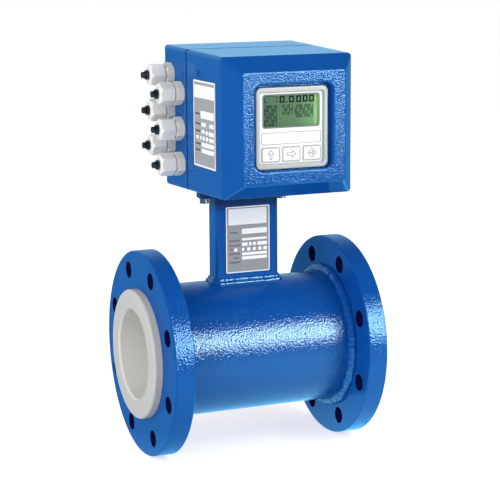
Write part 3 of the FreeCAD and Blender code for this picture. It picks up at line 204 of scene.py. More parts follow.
# Sprayed enamel gives a deep blue under a hard, clear shine that breaks up in its orange
# peel. Real peel is about 1 mm wide; it is drawn near 2 mm, so that it shows.
def blue_enamel(name, grain_mm, depth_mm, tint, smooth=0.0, mask=None, bare=None, edge_mm=1.0):
    """Blue gloss paint: the mask tells where its peel stands, bare where it is darkened with painted
    shade.
    """
    material, tree = new_material(name)
    place = add(tree, "ShaderNodeTexCoord")
    drift = add(tree, "ShaderNodeTexNoise", {"Vector": place.outputs["Object"],
                                             "Scale": frequency(45), "Detail": 2.0})
    shade = add(tree, "ShaderNodeMix", {"Factor": drift.outputs["Fac"], "A": linear("#0A4897"),
                                        "B": linear("#1052A2")}, data_type="RGBA")
    # Painted shade: in corners and creases, where other surfaces lie within 12 mm, the blue is darkened
    # towards a deep violet-blue.
    corner = add(tree, "ShaderNodeAmbientOcclusion", {"Distance": 12 * MM}, samples=4)
    painted_corner_shade = add(tree, "ShaderNodeMapRange", {"Value": corner.outputs["AO"], "From Min": 0.15,
                                              "From Max": 0.6, "To Min": 0.25, "To Max": 1.0})
    shaded = add(tree, "ShaderNodeMix", {"Factor": painted_corner_shade.outputs[0], "A": linear("#08205E"),
                                         "B": shade.outputs["Result"]}, data_type="RGBA")
    coat = shaded.outputs["Result"]
    # Painted shade: where the bare mask stands, the coat is darkened to a deep violet-blue.
    if bare is not None:
        with_painted_shade = add(tree, "ShaderNodeMix", {"Factor": bare(tree, place), "A": coat,
                                             "B": linear("#15164A")}, data_type="RGBA")
        coat = with_painted_shade.outputs["Result"]
    grain = add(tree, "ShaderNodeTexNoise", {"Vector": place.outputs["Object"],
                                             "Scale": frequency(grain_mm), "Detail": 1.0,
                                             "Roughness": 0.5})
    edge_radius = add(tree, "ShaderNodeBevel", {"Radius": edge_mm * MM}, samples=4)
    amount = 1.0
    if mask is not None:
        where = add(tree, "ShaderNodeMapRange", {"Value": mask(tree, place), "To Min": smooth,
                                                 "To Max": 1.0})
        amount = where.outputs[0]
    bump = add(tree, "ShaderNodeBump", {"Height": grain.outputs["Fac"], "Strength": amount,
                                        "Distance": depth_mm * MM,
                                        "Normal": edge_radius.outputs["Normal"]})
    dust = add(tree, "ShaderNodeTexNoise", {"Vector": place.outputs["Object"],
                                            "Scale": frequency(7), "Detail": 2.0})
    gloss = add(tree, "ShaderNodeMapRange", {"Value": dust.outputs["Fac"], "From Min": 0.3,
                                             "From Max": 0.7, "To Min": 0.08, "To Max": 0.12})
    colour = add(tree, "ShaderNodeBsdfPrincipled", {"Base Color": coat,
                                                    "Specular IOR Level": 0.0,
                                                    "Normal": bump.outputs["Normal"]})
    shine = add(tree, "ShaderNodeBsdfGlossy", {"Color": linear(tint),
                                               "Roughness": gloss.outputs[0],
                                               "Normal": bump.outputs["Normal"]})
    edge = add(tree, "ShaderNodeFresnel", {"IOR": 1.5, "Normal": bump.outputs["Normal"]})
    paint = add(tree, "ShaderNodeMixShader", {0: edge.outputs[0], 1: colour.outputs[0],
                                              2: shine.outputs[0]})
    add(tree, "ShaderNodeOutputMaterial", {"Surface": paint.outputs[0]})
    return material


def on_rim(tree, place):
    """1 on the turned rim of a flange, 0 on its faces."""
    split = add(tree, "ShaderNodeSeparateXYZ", {0: place.outputs["Object"]})
    flat = add(tree, "ShaderNodeCombineXYZ", {1: split.outputs["Y"], 2: split.outputs["Z"]})
    reach = add(tree, "ShaderNodeVectorMath", {0: flat.outputs[0]}, operation="LENGTH")
    flange_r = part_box("inlet_flange")[1][2]
    near = add(tree, "ShaderNodeMapRange", {"Value": reach.outputs["Value"],
                                            "From Min": flange_r - 1.6 * MM,
                                            "From Max": flange_r - 0.6 * MM})
    return near.outputs[0]


def in_bolt_hole(tree, place):
    """1 on the walls of the bolt holes, which are darkened there with painted shade."""
    split = add(tree, "ShaderNodeSeparateXYZ", {0: place.outputs["Object"]})
    flat = add(tree, "ShaderNodeCombineXYZ", {1: split.outputs["Y"], 2: split.outputs["Z"]})
    reach = add(tree, "ShaderNodeVectorMath", {0: flat.outputs[0]}, operation="LENGTH")
    inside = add(tree, "ShaderNodeMath", {0: reach.outputs["Value"],
                                          1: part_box("inlet_flange")[1][2] - 4 * MM},
                 operation="LESS_THAN")
    surface = add(tree, "ShaderNodeNewGeometry")
    facing = add(tree, "ShaderNodeSeparateXYZ", {0: surface.outputs["True Normal"]})
    along = add(tree, "ShaderNodeMath", {0: facing.outputs["X"]}, operation="ABSOLUTE")
    across = add(tree, "ShaderNodeMath", {0: along.outputs[0], 1: 0.3}, operation="LESS_THAN")
    both = add(tree, "ShaderNodeMath", {0: inside.outputs[0], 1: across.outputs[0]},
               operation="MULTIPLY")
    return both.outputs[0]


def dress(material, *nodes):
    """Gives CAD nodes their material."""
    for name in nodes:
        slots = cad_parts[name].material_slots
        for slot in slots:
            slot.material = material


def under_head(tree, place):
    """Part way to 1 on the neck just below its head, where painted shade darkens the corner under the
    housing.
    """
    split = add(tree, "ShaderNodeSeparateXYZ", {0: place.outputs["Object"]})
    neck_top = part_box("neck_head_plate")[0][2]
    near = add(tree, "ShaderNodeMapRange", {"Value": split.outputs["Z"],
                                            "From Min": neck_top - 17 * MM,
                                            "From Max": neck_top - 6 * MM, "To Max": 0.9})
    return near.outputs[0]


# Nearly smooth on the faced sides of a flange, with peel on its turned rim and painted shade on the
# walls of its bolt holes.
dress(blue_enamel("blue_enamel_on_flange", 1.9, 0.46, "#9BD4F1", 0.08, on_rim, in_bolt_hole),
      "inlet_flange", "outlet_flange")
# All peel on the rolled shell, so that its long highlight sparkles.
dress(blue_enamel("blue_enamel_on_rolled_shell", 2.0, 0.46, "#C4ECF6"), "coil_housing_shell")
# Smooth with wide, shallow runs on the neck, and darkened with painted shade in the corner under its
# head.
dress(blue_enamel("blue_enamel_on_neck", 9.0, 0.06, "#BFF1FC", bare=under_head),
      "neck_column", "neck_head_plate")


# ---- Weld beads ------------------------------------------------------------------------------
# Fillet beads laid by hand round both ends of the shell and round the foot of the neck,
# with the ripples of the weld pool showing through the paint.
def bead_tree(name):
    """Sweeps a round bead along a curve and ripples it at the weld's pitch."""
    group = bpy.data.node_groups.new(name, "GeometryNodeTree")
    sockets = (("Geometry", "NodeSocketGeometry"), ("Bead radius", "NodeSocketFloat"),
               ("Ripple pitch", "NodeSocketFloat"), ("Ripple height", "NodeSocketFloat"),
               ("Wander", "NodeSocketFloat"), ("Paint", "NodeSocketMaterial"))
    for title, kind in sockets:
        group.interface.new_socket(title, in_out="INPUT", socket_type=kind)
    group.interface.new_socket("Geometry", in_out="OUTPUT", socket_type="NodeSocketGeometry")
    given = add(group, "NodeGroupInput")
    run = add(group, "GeometryNodeResampleCurve", {"Curve": given.outputs["Geometry"],
                                                   "Length": 1.1 * MM}, mode="LENGTH")
    along = add(group, "GeometryNodeSplineParameter")
    marked = add(group, "GeometryNodeCaptureAttribute", {"Geometry": run.outputs["Curve"]},
                 domain="POINT")
    marked.capture_items.new("FLOAT", "Length")
    group.links.new(along.outputs["Length"], marked.inputs["Length"])
    ring = add(group, "GeometryNodeCurvePrimitiveCircle", {"Resolution": 18,
                                                           "Radius": given.outputs["Bead radius"]})
    swept = add(group, "GeometryNodeCurveToMesh", {"Curve": marked.outputs["Geometry"],
                                                   "Profile Curve": ring.outputs["Curve"]})
    turns = add(group, "ShaderNodeMath", {0: marked.outputs["Length"],
                                          1: given.outputs["Ripple pitch"]}, operation="DIVIDE")
    pool = add(group, "ShaderNodeMath", {0: turns.outputs[0]}, operation="FRACT")
    rise = add(group, "ShaderNodeMath", {0: pool.outputs[0], 1: 0.55}, operation="POWER")
    ripple = add(group, "ShaderNodeMath", {0: rise.outputs[0], 1: given.outputs["Ripple height"]},
                 operation="MULTIPLY")
    spot = add(group, "GeometryNodeInputPosition")
    hand = add(group, "ShaderNodeTexNoise", {"Vector": spot.outputs[0], "Scale": frequency(9),
                                             "Detail": 1.0})
    centred = add(group, "ShaderNodeMath", {0: hand.outputs["Fac"], 1: -0.5}, operation="ADD")
    push = add(group, "ShaderNodeMath", {0: centred.outputs[0], 1: given.outputs["Wander"],
                                         2: ripple.outputs[0]}, operation="MULTIPLY_ADD")
    outward = add(group, "GeometryNodeInputNormal")
    offset = add(group, "ShaderNodeVectorMath", {0: outward.outputs[0], "Scale": push.outputs[0]},
                 operation="SCALE")
    moved = add(group, "GeometryNodeSetPosition", {"Geometry": swept.outputs["Mesh"],
                                                   "Offset": offset.outputs[0]})
    whole = add(group, "GeometryNodeRealizeInstances", {"Geometry": moved.outputs[0]})
    painted = add(group, "GeometryNodeSetMaterial", {"Geometry": whole.outputs[0],
                                                     "Material": given.outputs["Paint"]})
    add(group, "NodeGroupOutput", {"Geometry": painted.outputs[0]})
    return group


def lay_bead(name, path, radius_mm, pitch_mm, height_mm, wander_mm):
    """Plain mesh of a bead along a closed path of points."""
    curve = bpy.data.curves.new(name + "_path", "CURVE")
    curve.dimensions = "3D"
    spline = curve.splines.new("POLY")
    spline.points.add(len(path) - 1)
    for point, place in zip(spline.points, path):
        point.co = (*place, 1.0)
    spline.use_cyclic_u = True
    bead = bpy.data.objects.new(name + "_path", curve)
    bpy.context.collection.objects.link(bead)
    modifier = bead.modifiers.new("bead", "NODES")
    modifier.node_group = weld_bead_tree
    values = {"Bead radius": radius_mm * MM, "Ripple pitch": pitch_mm * MM,
              "Ripple height": height_mm * MM, "Wander": wander_mm * MM, "Paint": bead_enamel}
    for item in weld_bead_tree.interface.items_tree:
        if item.in_out == "INPUT" and item.name in values:
            modifier[item.identifier] = values[item.name]
    evaluated = bead.evaluated_get(bpy.context.evaluated_depsgraph_get())
    mesh = bpy.data.meshes.new_from_object(evaluated)
    bpy.data.objects.remove(bead)
    mesh.name = name
    mesh.shade_smooth()
    return mesh


def link_piece(name, mesh, body="meter"):
    """Adds a finished mesh to the scene and lets it ride on a body."""
    piece = bpy.data.objects.new(name, mesh)
    bpy.context.collection.objects.link(piece)
    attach(piece, body)
    return piece


weld_bead_tree = bead_tree("hand_laid_bead")
# The same enamel, thick and glassy over the ripples, so that each one catches the light.
bead_enamel = blue_enamel("blue_enamel_on_weld", 4.0, 0.55, "#CBFFFF")
shell_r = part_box("coil_housing_shell")[1][2]
weld_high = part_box("shell_weld_beads")[1]
weld_leg = weld_high[2] - shell_r
bead_rise = weld_leg * 0.17
bead_mesh = bmesh.new()
for side in (-1, 1):
    ring = []
    for step in range(180):
        angle = math.radians(step * 2)
        reach = shell_r + bead_rise
        ring.append((side * (weld_high[0] - bead_rise), reach * math.sin(angle),
                     reach * math.cos(angle)))
    bead_mesh.from_mesh(lay_bead("shell_bead", ring, radius_mm=5.6, pitch_mm=6.5,
                                 height_mm=1.1, wander_mm=3.4))
shell_beads = bpy.data.meshes.new("shell_weld_ripples")
bead_mesh.to_mesh(shell_beads)
bead_mesh.free()
shell_beads.materials.append(bead_enamel)
shell_beads.shade_smooth()
shell_bead_piece = link_piece("shell_weld_ripples", shell_beads)
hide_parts("shell_weld_beads")

# Two runs round the neck's foot: one against its wall, one on the shell.
neck_half_x, neck_half_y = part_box("neck_column")[1][:2]
neck_corner = 4.0 * MM
neck_mesh = bmesh.new()
for bead_radius, out, rise in ((2.5, -0.4, 3.6), (2.6, 2.2, 0.4)):
    path = []
    for quarter in range(4):
        turn = math.radians(90 * quarter + 45)
        corner_x = math.copysign(neck_half_x - neck_corner, math.cos(turn))
        corner_y = math.copysign(neck_half_y - neck_corner, math.sin(turn))
        for step in range(0, 91, 15):
            angle = math.radians(90 * quarter + step)
            x = corner_x + (neck_corner + out * MM) * math.cos(angle)
            y = corner_y + (neck_corner + out * MM) * math.sin(angle)
            path.append((x, y, math.sqrt((shell_r + rise * MM) ** 2 - y * y)))
    neck_mesh.from_mesh(lay_bead("neck_run", path, bead_radius, pitch_mm=6.0,
                                 height_mm=0.35, wander_mm=1.1))
neck_bead = bpy.data.meshes.new("neck_weld_ripples")
neck_mesh.to_mesh(neck_bead)
neck_mesh.free()
neck_bead.materials.append(bead_enamel)
neck_bead.shade_smooth()
neck_bead_piece = link_piece("neck_weld_ripples", neck_bead)
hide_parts("neck_weld_bead")


# ---- Liner -----------------------------------------------------------------------------------
# Moulded fluoropolymer sleeve, flared by heat over both flange faces; a waxy, faintly
# translucent white with a soft sheen, painted whiter down the bore as painted light.
bore_r = 49.5 * MM


def in_bore(tree, place):
    """1 on the bore of the liner, 0 on its flared faces."""
    split = add(tree, "ShaderNodeSeparateXYZ", {0: place.outputs["Object"]})
    flat = add(tree, "ShaderNodeCombineXYZ", {1: split.outputs["Y"], 2: split.outputs["Z"]})
    reach = add(tree, "ShaderNodeVectorMath", {0: flat.outputs[0]}, operation="LENGTH")
    near = add(tree, "ShaderNodeMapRange", {"Value": reach.outputs["Value"],
                                            "From Min": bore_r + 2 * MM,
                                            "From Max": bore_r + 0.5 * MM})
    return near.outputs[0]


def plain_plastic(name, dark, light, roughness, grain_mm, depth_mm, ior=1.5, level=0.5, wax=0.0,
                  metal=0.0, patch=None, patch_colour="#FFFFFF"):
    """Moulded surface: slight mottling of the colour and a fine moulding texture."""
    material, tree = new_material(name)
    place = add(tree, "ShaderNodeTexCoord")
    mottle = add(tree, "ShaderNodeTexNoise", {"Vector": place.outputs["Object"],
                                              "Scale": frequency(grain_mm * 5), "Detail": 3.0})
    colour = add(tree, "ShaderNodeMix", {"Factor": mottle.outputs["Fac"], "A": linear(dark),
                                         "B": linear(light)}, data_type="RGBA")
    if patch is not None:
        colour = add(tree, "ShaderNodeMix", {"Factor": patch(tree, place),
                                             "A": colour.outputs["Result"],
                                             "B": linear(patch_colour)}, data_type="RGBA")
    grain = add(tree, "ShaderNodeTexNoise", {"Vector": place.outputs["Object"],
                                             "Scale": frequency(grain_mm), "Detail": 2.0})
    bump = add(tree, "ShaderNodeBump", {"Height": grain.outputs["Fac"],
                                        "Distance": depth_mm * MM})
    sheen = add(tree, "ShaderNodeMapRange", {"Value": mottle.outputs["Fac"],
                                             "To Min": roughness - 0.05,
                                             "To Max": roughness + 0.05})
    body = add(tree, "ShaderNodeBsdfPrincipled", {"Base Color": colour.outputs["Result"],
                                                  "Roughness": sheen.outputs[0],
                                                  "Normal": bump.outputs["Normal"], "IOR": ior,
                                                  "Specular IOR Level": level,
                                                  "Metallic": metal,
                                                  "Subsurface Weight": wax,
                                                  "Subsurface Radius": (0.003, 0.003, 0.003)})
    add(tree, "ShaderNodeOutputMaterial", {"Surface": body.outputs[0]})
    return material


# Painted light: the bore is painted whiter than the flared faces, standing in for the light that reaches
# down it.
dress(plain_plastic("moulded_fluoropolymer", "#C0BDB8", "#CAC7C3", 0.38, 6.0, 0.05, ior=1.35,
                    wax=0.15, patch=in_bore, patch_colour="#DCDAD6"), "liner")


# ---- Converter housing -----------------------------------------------------------------------
# Two die-cast aluminium halves, powder coated in the same blue; the display face is left
# as cast, so its coat is coarse and sparkles, and the drafted sides lie smoother.
front_low, front_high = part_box("front_housing")
middle_z = (front_low[2] + front_high[2]) / 2
face_half = 57.8 * MM


def on_face(tree, place):
    """About 1 on the display face, less towards its foot, and 0 on the bevels and sides."""
    split = add(tree, "ShaderNodeSeparateXYZ", {0: place.outputs["Object"]})
    rise = add(tree, "ShaderNodeMath", {0: split.outputs["Z"], 1: middle_z}, operation="SUBTRACT")
    up = add(tree, "ShaderNodeMath", {0: rise.outputs[0]}, operation="ABSOLUTE")
    out = add(tree, "ShaderNodeMath", {0: split.outputs["X"]}, operation="ABSOLUTE")
    reach = add(tree, "ShaderNodeMath", {0: up.outputs[0], 1: out.outputs[0]}, operation="MAXIMUM")
    near = add(tree, "ShaderNodeMapRange", {"Value": reach.outputs[0],
                                            "From Min": face_half + MM,
                                            "From Max": face_half - MM})
    peel = add(tree, "ShaderNodeMapRange", {"Value": rise.outputs[0], "From Min": -54 * MM,
                                            "From Max": 30 * MM, "To Min": 0.68, "To Max": 1.1})
    thick = add(tree, "ShaderNodeMath", {0: near.outputs[0], 1: peel.outputs[0]},
                operation="MULTIPLY")
    return thick.outputs[0]


dress(blue_enamel("blue_powder_coat_on_casting", 1.8, 0.58, "#ADEAFF", 0.02, on_face,
                  edge_mm=2.2), "front_housing", "rear_housing")


# ---- Gaskets, grommet and seals --------------------------------------------------------------
# Black nitrile rubber: the cord in the housing seam, the flat gasket under the foot, the
# grommet round the leads and the sleeves in the glands.
dress(plain_plastic("nitrile_rubber", "#10151C", "#1A2028", 0.6, 1.5, 0.03), "housing_gasket",
      "neck_gasket", "cable_grommet", "gland_seals", "sensor_harness")


# ---- Screws, washers and electrodes ----------------------------------------------------------
# Turned and cold-headed stainless steel, screwed in; the electrodes and the measuring tube
# are of the same non-magnetic steel.

# Bare metal: a grey shine, broken by marks. Real turning marks are finer than 0.1 mm; they
# are drawn about 1 mm apart, so that they show.
def turned_steel(name, colour, roughness, mark_mm):
    """Bare metal, its shine broken by marks of the given size."""
    material, tree = new_material(name)
    place = add(tree, "ShaderNodeTexCoord")
    marks = add(tree, "ShaderNodeTexNoise", {"Vector": place.outputs["Object"],
                                             "Scale": frequency(mark_mm), "Detail": 3.0})
    bump = add(tree, "ShaderNodeBump", {"Height": marks.outputs["Fac"], "Distance": 0.02 * MM})
    polish = add(tree, "ShaderNodeMapRange", {"Value": marks.outputs["Fac"],
                                              "To Min": roughness - 0.08,
                                              "To Max": roughness + 0.08})
    metal = add(tree, "ShaderNodeBsdfPrincipled", {"Base Color": linear(colour), "Metallic": 1.0,
                                                   "Roughness": polish.outputs[0],
                                                   "Normal": bump.outputs["Normal"]})
    add(tree, "ShaderNodeOutputMaterial", {"Surface": metal.outputs[0]})
    return material


dress(turned_steel("stainless_screw_steel", "#8F8A84", 0.35, 1.2), "neck_screws", "neck_washers",
      "housing_screws", "board_screws", "electrodes", "electrode_nuts", "measuring_tube")


# ---- Cable glands ----------------------------------------------------------------------------
# Moulded polyamide: cream bodies screwed into the wall, paler dome nuts with a soft sheen,
# and black polyethylene blanking plugs pushed into the seals.
dress(plain_plastic("cream_polyamide", "#E0DED4", "#E9E7DE", 0.35, 1.2, 0.03),
      *["gland_body_%d" % number for number in range(1, 7)])
dress(plain_plastic("grey_polyamide", "#E2E2DF", "#ECECE9", 0.32, 1.2, 0.03),
      *["gland_nut_%d" % number for number in range(1, 7)])
dress(plain_plastic("black_polyethylene", "#0B0D10", "#15181C", 0.38, 1.0, 0.02), "gland_plugs")


# ---- Nameplates ------------------------------------------------------------------------------
# Printed aluminium foil plates, glued on: a silver-grey ground, white fields for the data,
# a bare white panel at the top and small grey marks where captions would stand.
class Plane:
    """A flat printed surface: middle, directions across and up, and the way it faces."""

    def __init__(self, middle, across, up):
        self.middle = Vector(middle)
        self.across = Vector(across).normalized()
        self.up = Vector(up).normalized()
        self.out = self.across.cross(self.up)

    def at(self, u_mm, v_mm, lift_mm):
        return self.middle + (self.across * u_mm + self.up * v_mm + self.out * lift_mm) * MM


def front_of(node):
    """The plane of a CAD node's front."""
    low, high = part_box(node)
    return Plane(((low[0] + high[0]) / 2, low[1], (low[2] + high[2]) / 2), (1, 0, 0), (0, 0, 1))


def add_slab(mesh, plane, outline, lift, thickness):
    """Thin closed slab with the given outline, counter-clockwise, in millimetres."""
    top = [mesh.verts.new(plane.at(u, v, lift + thickness)) for u, v in outline]
    base = [mesh.verts.new(plane.at(u, v, lift)) for u, v in outline]
    count = len(outline)
    mesh.faces.new(top)
    mesh.faces.new(base[::-1])
    for start in range(count):
        end = (start + 1) % count
        mesh.faces.new((base[start], base[end], top[end], top[start]))


def rounded(u0, v0, u1, v1, radius):
    """Outline of a rectangle with rounded corners."""
    points = []
    for quarter, (cu, cv) in enumerate(((u1 - radius, v0 + radius), (u1 - radius, v1 - radius),
                                        (u0 + radius, v1 - radius), (u0 + radius, v0 + radius))):
        for step in range(5):
            angle = math.radians(90 * quarter - 90 + 22.5 * step)
            points.append((cu + radius * math.cos(angle), cv + radius * math.sin(angle)))
    return points


def add_line(mesh, plane, outline, width, lift, thickness):
    """Closed printed line of even width, drawn inwards from its outline."""
    count = len(outline)
    inner = []
    for place in range(count):
        before = Vector(outline[place - 1])
        here = Vector(outline[place])
        after = Vector(outline[(place + 1) % count])
        first = (here - before).normalized()
        second = (after - here).normalized()
        normal = Vector((-first.y - second.y, first.x + second.x)).normalized()
        reach = width / max(normal.dot(Vector((-first.y, first.x))), 0.3)
        inner.append(tuple(here + normal * reach))
    for place in range(count):
        following = (place + 1) % count
        add_slab(mesh, plane, [outline[place], outline[following], inner[following], inner[place]],
                 lift, thickness)


def finish_print(name, mesh, material, body):
    """Turns a bmesh of print into a riding piece."""
    bmesh.ops.recalc_face_normals(mesh, faces=mesh.faces)
    data = bpy.data.meshes.new(name)
    mesh.to_mesh(data)
    mesh.free()
    data.materials.append(material)
    piece = link_piece(name, data, body)
    return piece


# Printed foil: the ground keeps a little of the metal's grey, the inks lie flat and dull.
side_foil = plain_plastic("silver_foil_plate", "#9C9B9C", "#A8A7A8", 0.42, 1.0, 0.02, metal=0.1)
# Painted shade: the neck plate is the same foil as the side plate, its ground painted darker for the
# shade it lies in.
neck_foil = plain_plastic("foil_plate_in_painted_shade", "#757270", "#83807E", 0.42, 1.0, 0.02, metal=0.1)
white_ink = plain_plastic("white_plate_ink", "#F2F2F2", "#F8F8F8", 0.4, 1.0, 0.01)
grey_ink = plain_plastic("grey_plate_ink", "#242528", "#2E2F33", 0.5, 1.0, 0.01)
dress(side_foil, "side_nameplate")
dress(neck_foil, "neck_nameplate")


mark_half_height = 0.95
mark_gap = 0.5


def print_plate(name, plane, width, height, border, panel, rows, captions):
    """Prints border, bare top panel, data fields and caption marks, in mm from the middle.

    A row is its left, right, top and bottom; a caption is its left, right and height.
    """
    u = width / 2
    v = height / 2
    white = bmesh.new()
    add_line(white, plane, rounded(-u + 0.1, -v + 0.1, u - 0.1, v - 0.1, 1.4), border, 0.0, 0.05)
    add_slab(white, plane, rounded(*panel, 1.2), 0.0, 0.06)
    for low_u, high_u, high_v, low_v in rows:
        add_slab(white, plane, rounded(low_u, low_v, high_u, high_v, 0.5), 0.0, 0.06)
    finish_print(name + "_fields", white, white_ink, "meter")
    marks = bmesh.new()
    for low_u, high_u, middle_v in captions:
        place = low_u
        while place < high_u:
            step = 1.5 + 0.7 * math.sin(place * 7.0 + middle_v)
            add_slab(marks, plane, rounded(place, middle_v - mark_half_height,
                                           min(place + step, high_u),
                                           middle_v + mark_half_height, 0.2), 0.0, 0.05)
            place += step + mark_gap
    finish_print(name + "_marks", marks, grey_ink, "meter")


neck_rows = [(-7.2, 22.9, 12.1, 6.0), (-7.2, 22.9, 1.4, -1.2), (-7.2, -0.6, -3.6, -7.5),
             (1.2, 4.4, -3.6, -7.5), (6.0, 9.6, -3.6, -7.5), (11.4, 22.9, -3.6, -7.5),
             (-16.6, -13.0, -9.6, -13.2), (-7.2, -4.4, -9.6, -13.2), (-1.0, 3.0, -9.6, -13.2),
             (6.0, 9.4, -9.6, -13.2), (12.4, 16.2, -9.6, -13.2), (18.6, 22.9, -9.6, -13.2),
             (-7.2, 22.9, -15.0, -17.9), (-7.2, 22.9, -19.4, -22.9)]
neck_captions = [(-21.0, -12.5, 8.2), (-23.2, -9.5, -1.0), (-23.2, -9.5, -6.5),
                 (-22.0, -17.6, -10.6), (-22.6, -9.5, -15.8), (-16.6, -11.0, -20.5),
                 (-22.4, -9.0, -25.4)]
print_plate("neck_plate", front_of("neck_nameplate"), 52.6, 74.8, 1.1, (-23.3, 16.8, 22.6, 34.9),
            neck_rows, neck_captions)

low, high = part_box("side_nameplate")
wall_lean = 3.8     # of the drafted side wall, over its depth
wall_depth = 158.9
wall_draft = wall_lean / wall_depth
plate_thickness = 0.8
plate_slope = Vector((-wall_draft, 1.0, 0.0)).normalized()
plate_out = Vector((-1.0, -wall_draft, 0.0)).normalized()
side_middle = Vector(((low[0] + high[0]) / 2, (low[1] + high[1]) / 2, (low[2] + high[2]) / 2))
side_plane = Plane(side_middle + plate_out * (plate_thickness / 2 * MM), -plate_slope, (0, 0, 1))
side_rows = [(-10.0, 25.5, 14.1, 6.1), (-8.0, 4.0, 1.8, -2.3), (13.5, 25.5, 1.8, -2.3),
             (-8.0, 0.5, -5.8, -9.6), (3.6, 9.0, -6.4, -10.4), (11.5, 25.5, -6.6, -10.8),
             (-22.0, -16.5, -12.8, -16.4), (-12.5, -8.0, -12.8, -16.4), (-5.0, 0.5, -12.8, -16.8),
             (4.0, 9.5, -12.8, -16.8), (12.5, 25.5, -13.0, -17.0), (-8.0, 25.5, -19.2, -23.8),
             (-8.0, 25.5, -25.8, -30.4)]
side_captions = [(-24.5, -12.0, 10.4), (-24.5, -11.0, -0.2), (-24.5, -11.5, -7.8),
                 (-24.5, -11.0, -21.4), (-24.5, -11.0, -28.0)]
print_plate("side_plate", side_plane, 58.7, 91.1, 1.7, (-26.6, 27.3, 26.6, 40.6), side_rows,
            side_captions)


# ---- Display bezel, overlay and keys ---------------------------------------------------------
# A moulded pale grey frame with a printed polyester overlay in its tray; three loose key
# caps stand just proud of it, each with a printed outline and an arrow.

# Moulded ABS has a fine texture and a soft sheen; the polyester film is whiter and flatter.
dress(plain_plastic("pale_grey_abs", "#AEB2B0", "#B8BCBA", 0.33, 1.0, 0.02), "display_bezel")
dress(plain_plastic("polyester_overlay", "#E4E5E5", "#E9EAEA", 0.30, 2.0, 0.02), "display_overlay")
dress(plain_plastic("key_cap_abs", "#E0E1E1", "#E5E6E6", 0.35, 1.2, 0.02), "key_up", "key_right",
      "key_enter")
line_ink = plain_plastic("overlay_line_ink", "#3A3C40", "#46484C", 0.5, 1.0, 0.01)
window_ink = plain_plastic("window_frame_ink", "#465049", "#525C56", 0.5, 1.0, 0.01)

low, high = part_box("display_overlay")
overlay_plane = front_of("display_overlay")
overlay_mm = [(high[axis] - low[axis]) / MM for axis in (0, 2)]
window_low, window_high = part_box("lcd_window")


def on_overlay(corner):
    """A CAD point in the overlay's own millimetres."""
    return ((corner[0] - overlay_plane.middle.x) / MM, (corner[2] - overlay_plane.middle.z) / MM)


lines = bmesh.new()
half_u = overlay_mm[0] / 2 - 0.5
half_v = overlay_mm[1] / 2 - 0.5
add_line(lines, overlay_plane, rounded(-half_u, -half_v, half_u, half_v, 3.0), 0.5, 0.0, 0.05)
panel_v = -10.7
panel_half_u = 33.5
panel_half_v = 6.2
add_line(lines, overlay_plane, rounded(-panel_half_u, panel_v - panel_half_v, panel_half_u,
                                       panel_v + panel_half_v, 1.0), 0.45, 0.0, 0.05)
finish_print("overlay_lines", lines, line_ink, "meter")
surround_line = bmesh.new()
u0, v0 = on_overlay(window_low)
u1, v1 = on_overlay(window_high)
pane_lift = max(0.0, (overlay_plane.middle.y - window_low[1]) / MM)
add_line(surround_line, overlay_plane, rounded(u0 - 0.3, v0 - 0.3, u1 + 0.3, v1 + 0.3, 3.2), 1.5,
         pane_lift + 0.01, 0.05)
finish_print("window_frame_line", surround_line, window_ink, "meter")

UP_ARROW = [(-1.3, -5.0), (1.3, -5.0), (1.3, 0.6), (3.6, 0.6), (0.0, 5.2), (-3.6, 0.6), (-1.3, 0.6)]
RIGHT_ARROW = [(-5.2, -1.5), (0.6, -1.5), (0.6, -3.9), (5.4, 0.0), (0.6, 3.9), (0.6, 1.5), (-5.2, 1.5)]
DIAMOND = [(0.0, -5.4), (5.4, 0.0), (0.0, 5.4), (-5.4, 0.0)]
SMALL_ARROW = [(-2.9, -0.8), (0.2, -0.8), (0.2, -2.4), (3.1, 0.0), (0.2, 2.4), (0.2, 0.8), (-2.9, 0.8)]
for key, body, symbols in (("key_up", "up_key", [UP_ARROW]),
                           ("key_right", "right_key", [RIGHT_ARROW]),
                           ("key_enter", "enter_key", [DIAMOND, SMALL_ARROW])):
    key_plane = front_of(key)
    marks = bmesh.new()
    add_line(marks, key_plane, rounded(-9.9, -7.3, 9.9, 7.3, 1.2), 0.5, 0.0, 0.05)
    for symbol in symbols:
        add_line(marks, key_plane, symbol, 0.5, 0.0, 0.05)
    finish_print(key + "_print", marks, line_ink, body)


# ---- Display window and cell -----------------------------------------------------------------
# A clear acrylic pane over a green display cell, painted lighter towards its right-hand
# edge as painted light; the figures are plain segments in dark grey.

# Coated acrylic: almost no reflection, only a faint shine with a little haze.
pane, tree = new_material("clear_acrylic")
edge = add(tree, "ShaderNodeFresnel", {"IOR": 1.49})
place = add(tree, "ShaderNodeTexCoord")
haze = add(tree, "ShaderNodeTexNoise", {"Vector": place.outputs["Object"], "Scale": frequency(12)})
clean = add(tree, "ShaderNodeMapRange", {"Value": haze.outputs["Fac"], "To Min": 0.03, "To Max": 0.09})
clear = add(tree, "ShaderNodeBsdfTransparent", {"Color": linear("#FAFCFA")})
shine = add(tree, "ShaderNodeBsdfGlossy", {"Color": linear("#FFFFFF"), "Roughness": clean.outputs[0]})
coated = add(tree, "ShaderNodeMath", {0: edge.outputs[0], 1: 0.2}, operation="MULTIPLY")
pane_mix = add(tree, "ShaderNodeMixShader", {0: coated.outputs[0], 1: clear.outputs[0],
                                             2: shine.outputs[0]})
add(tree, "ShaderNodeOutputMaterial", {"Surface": pane_mix.outputs[0]})
dress(pane, "lcd_window")
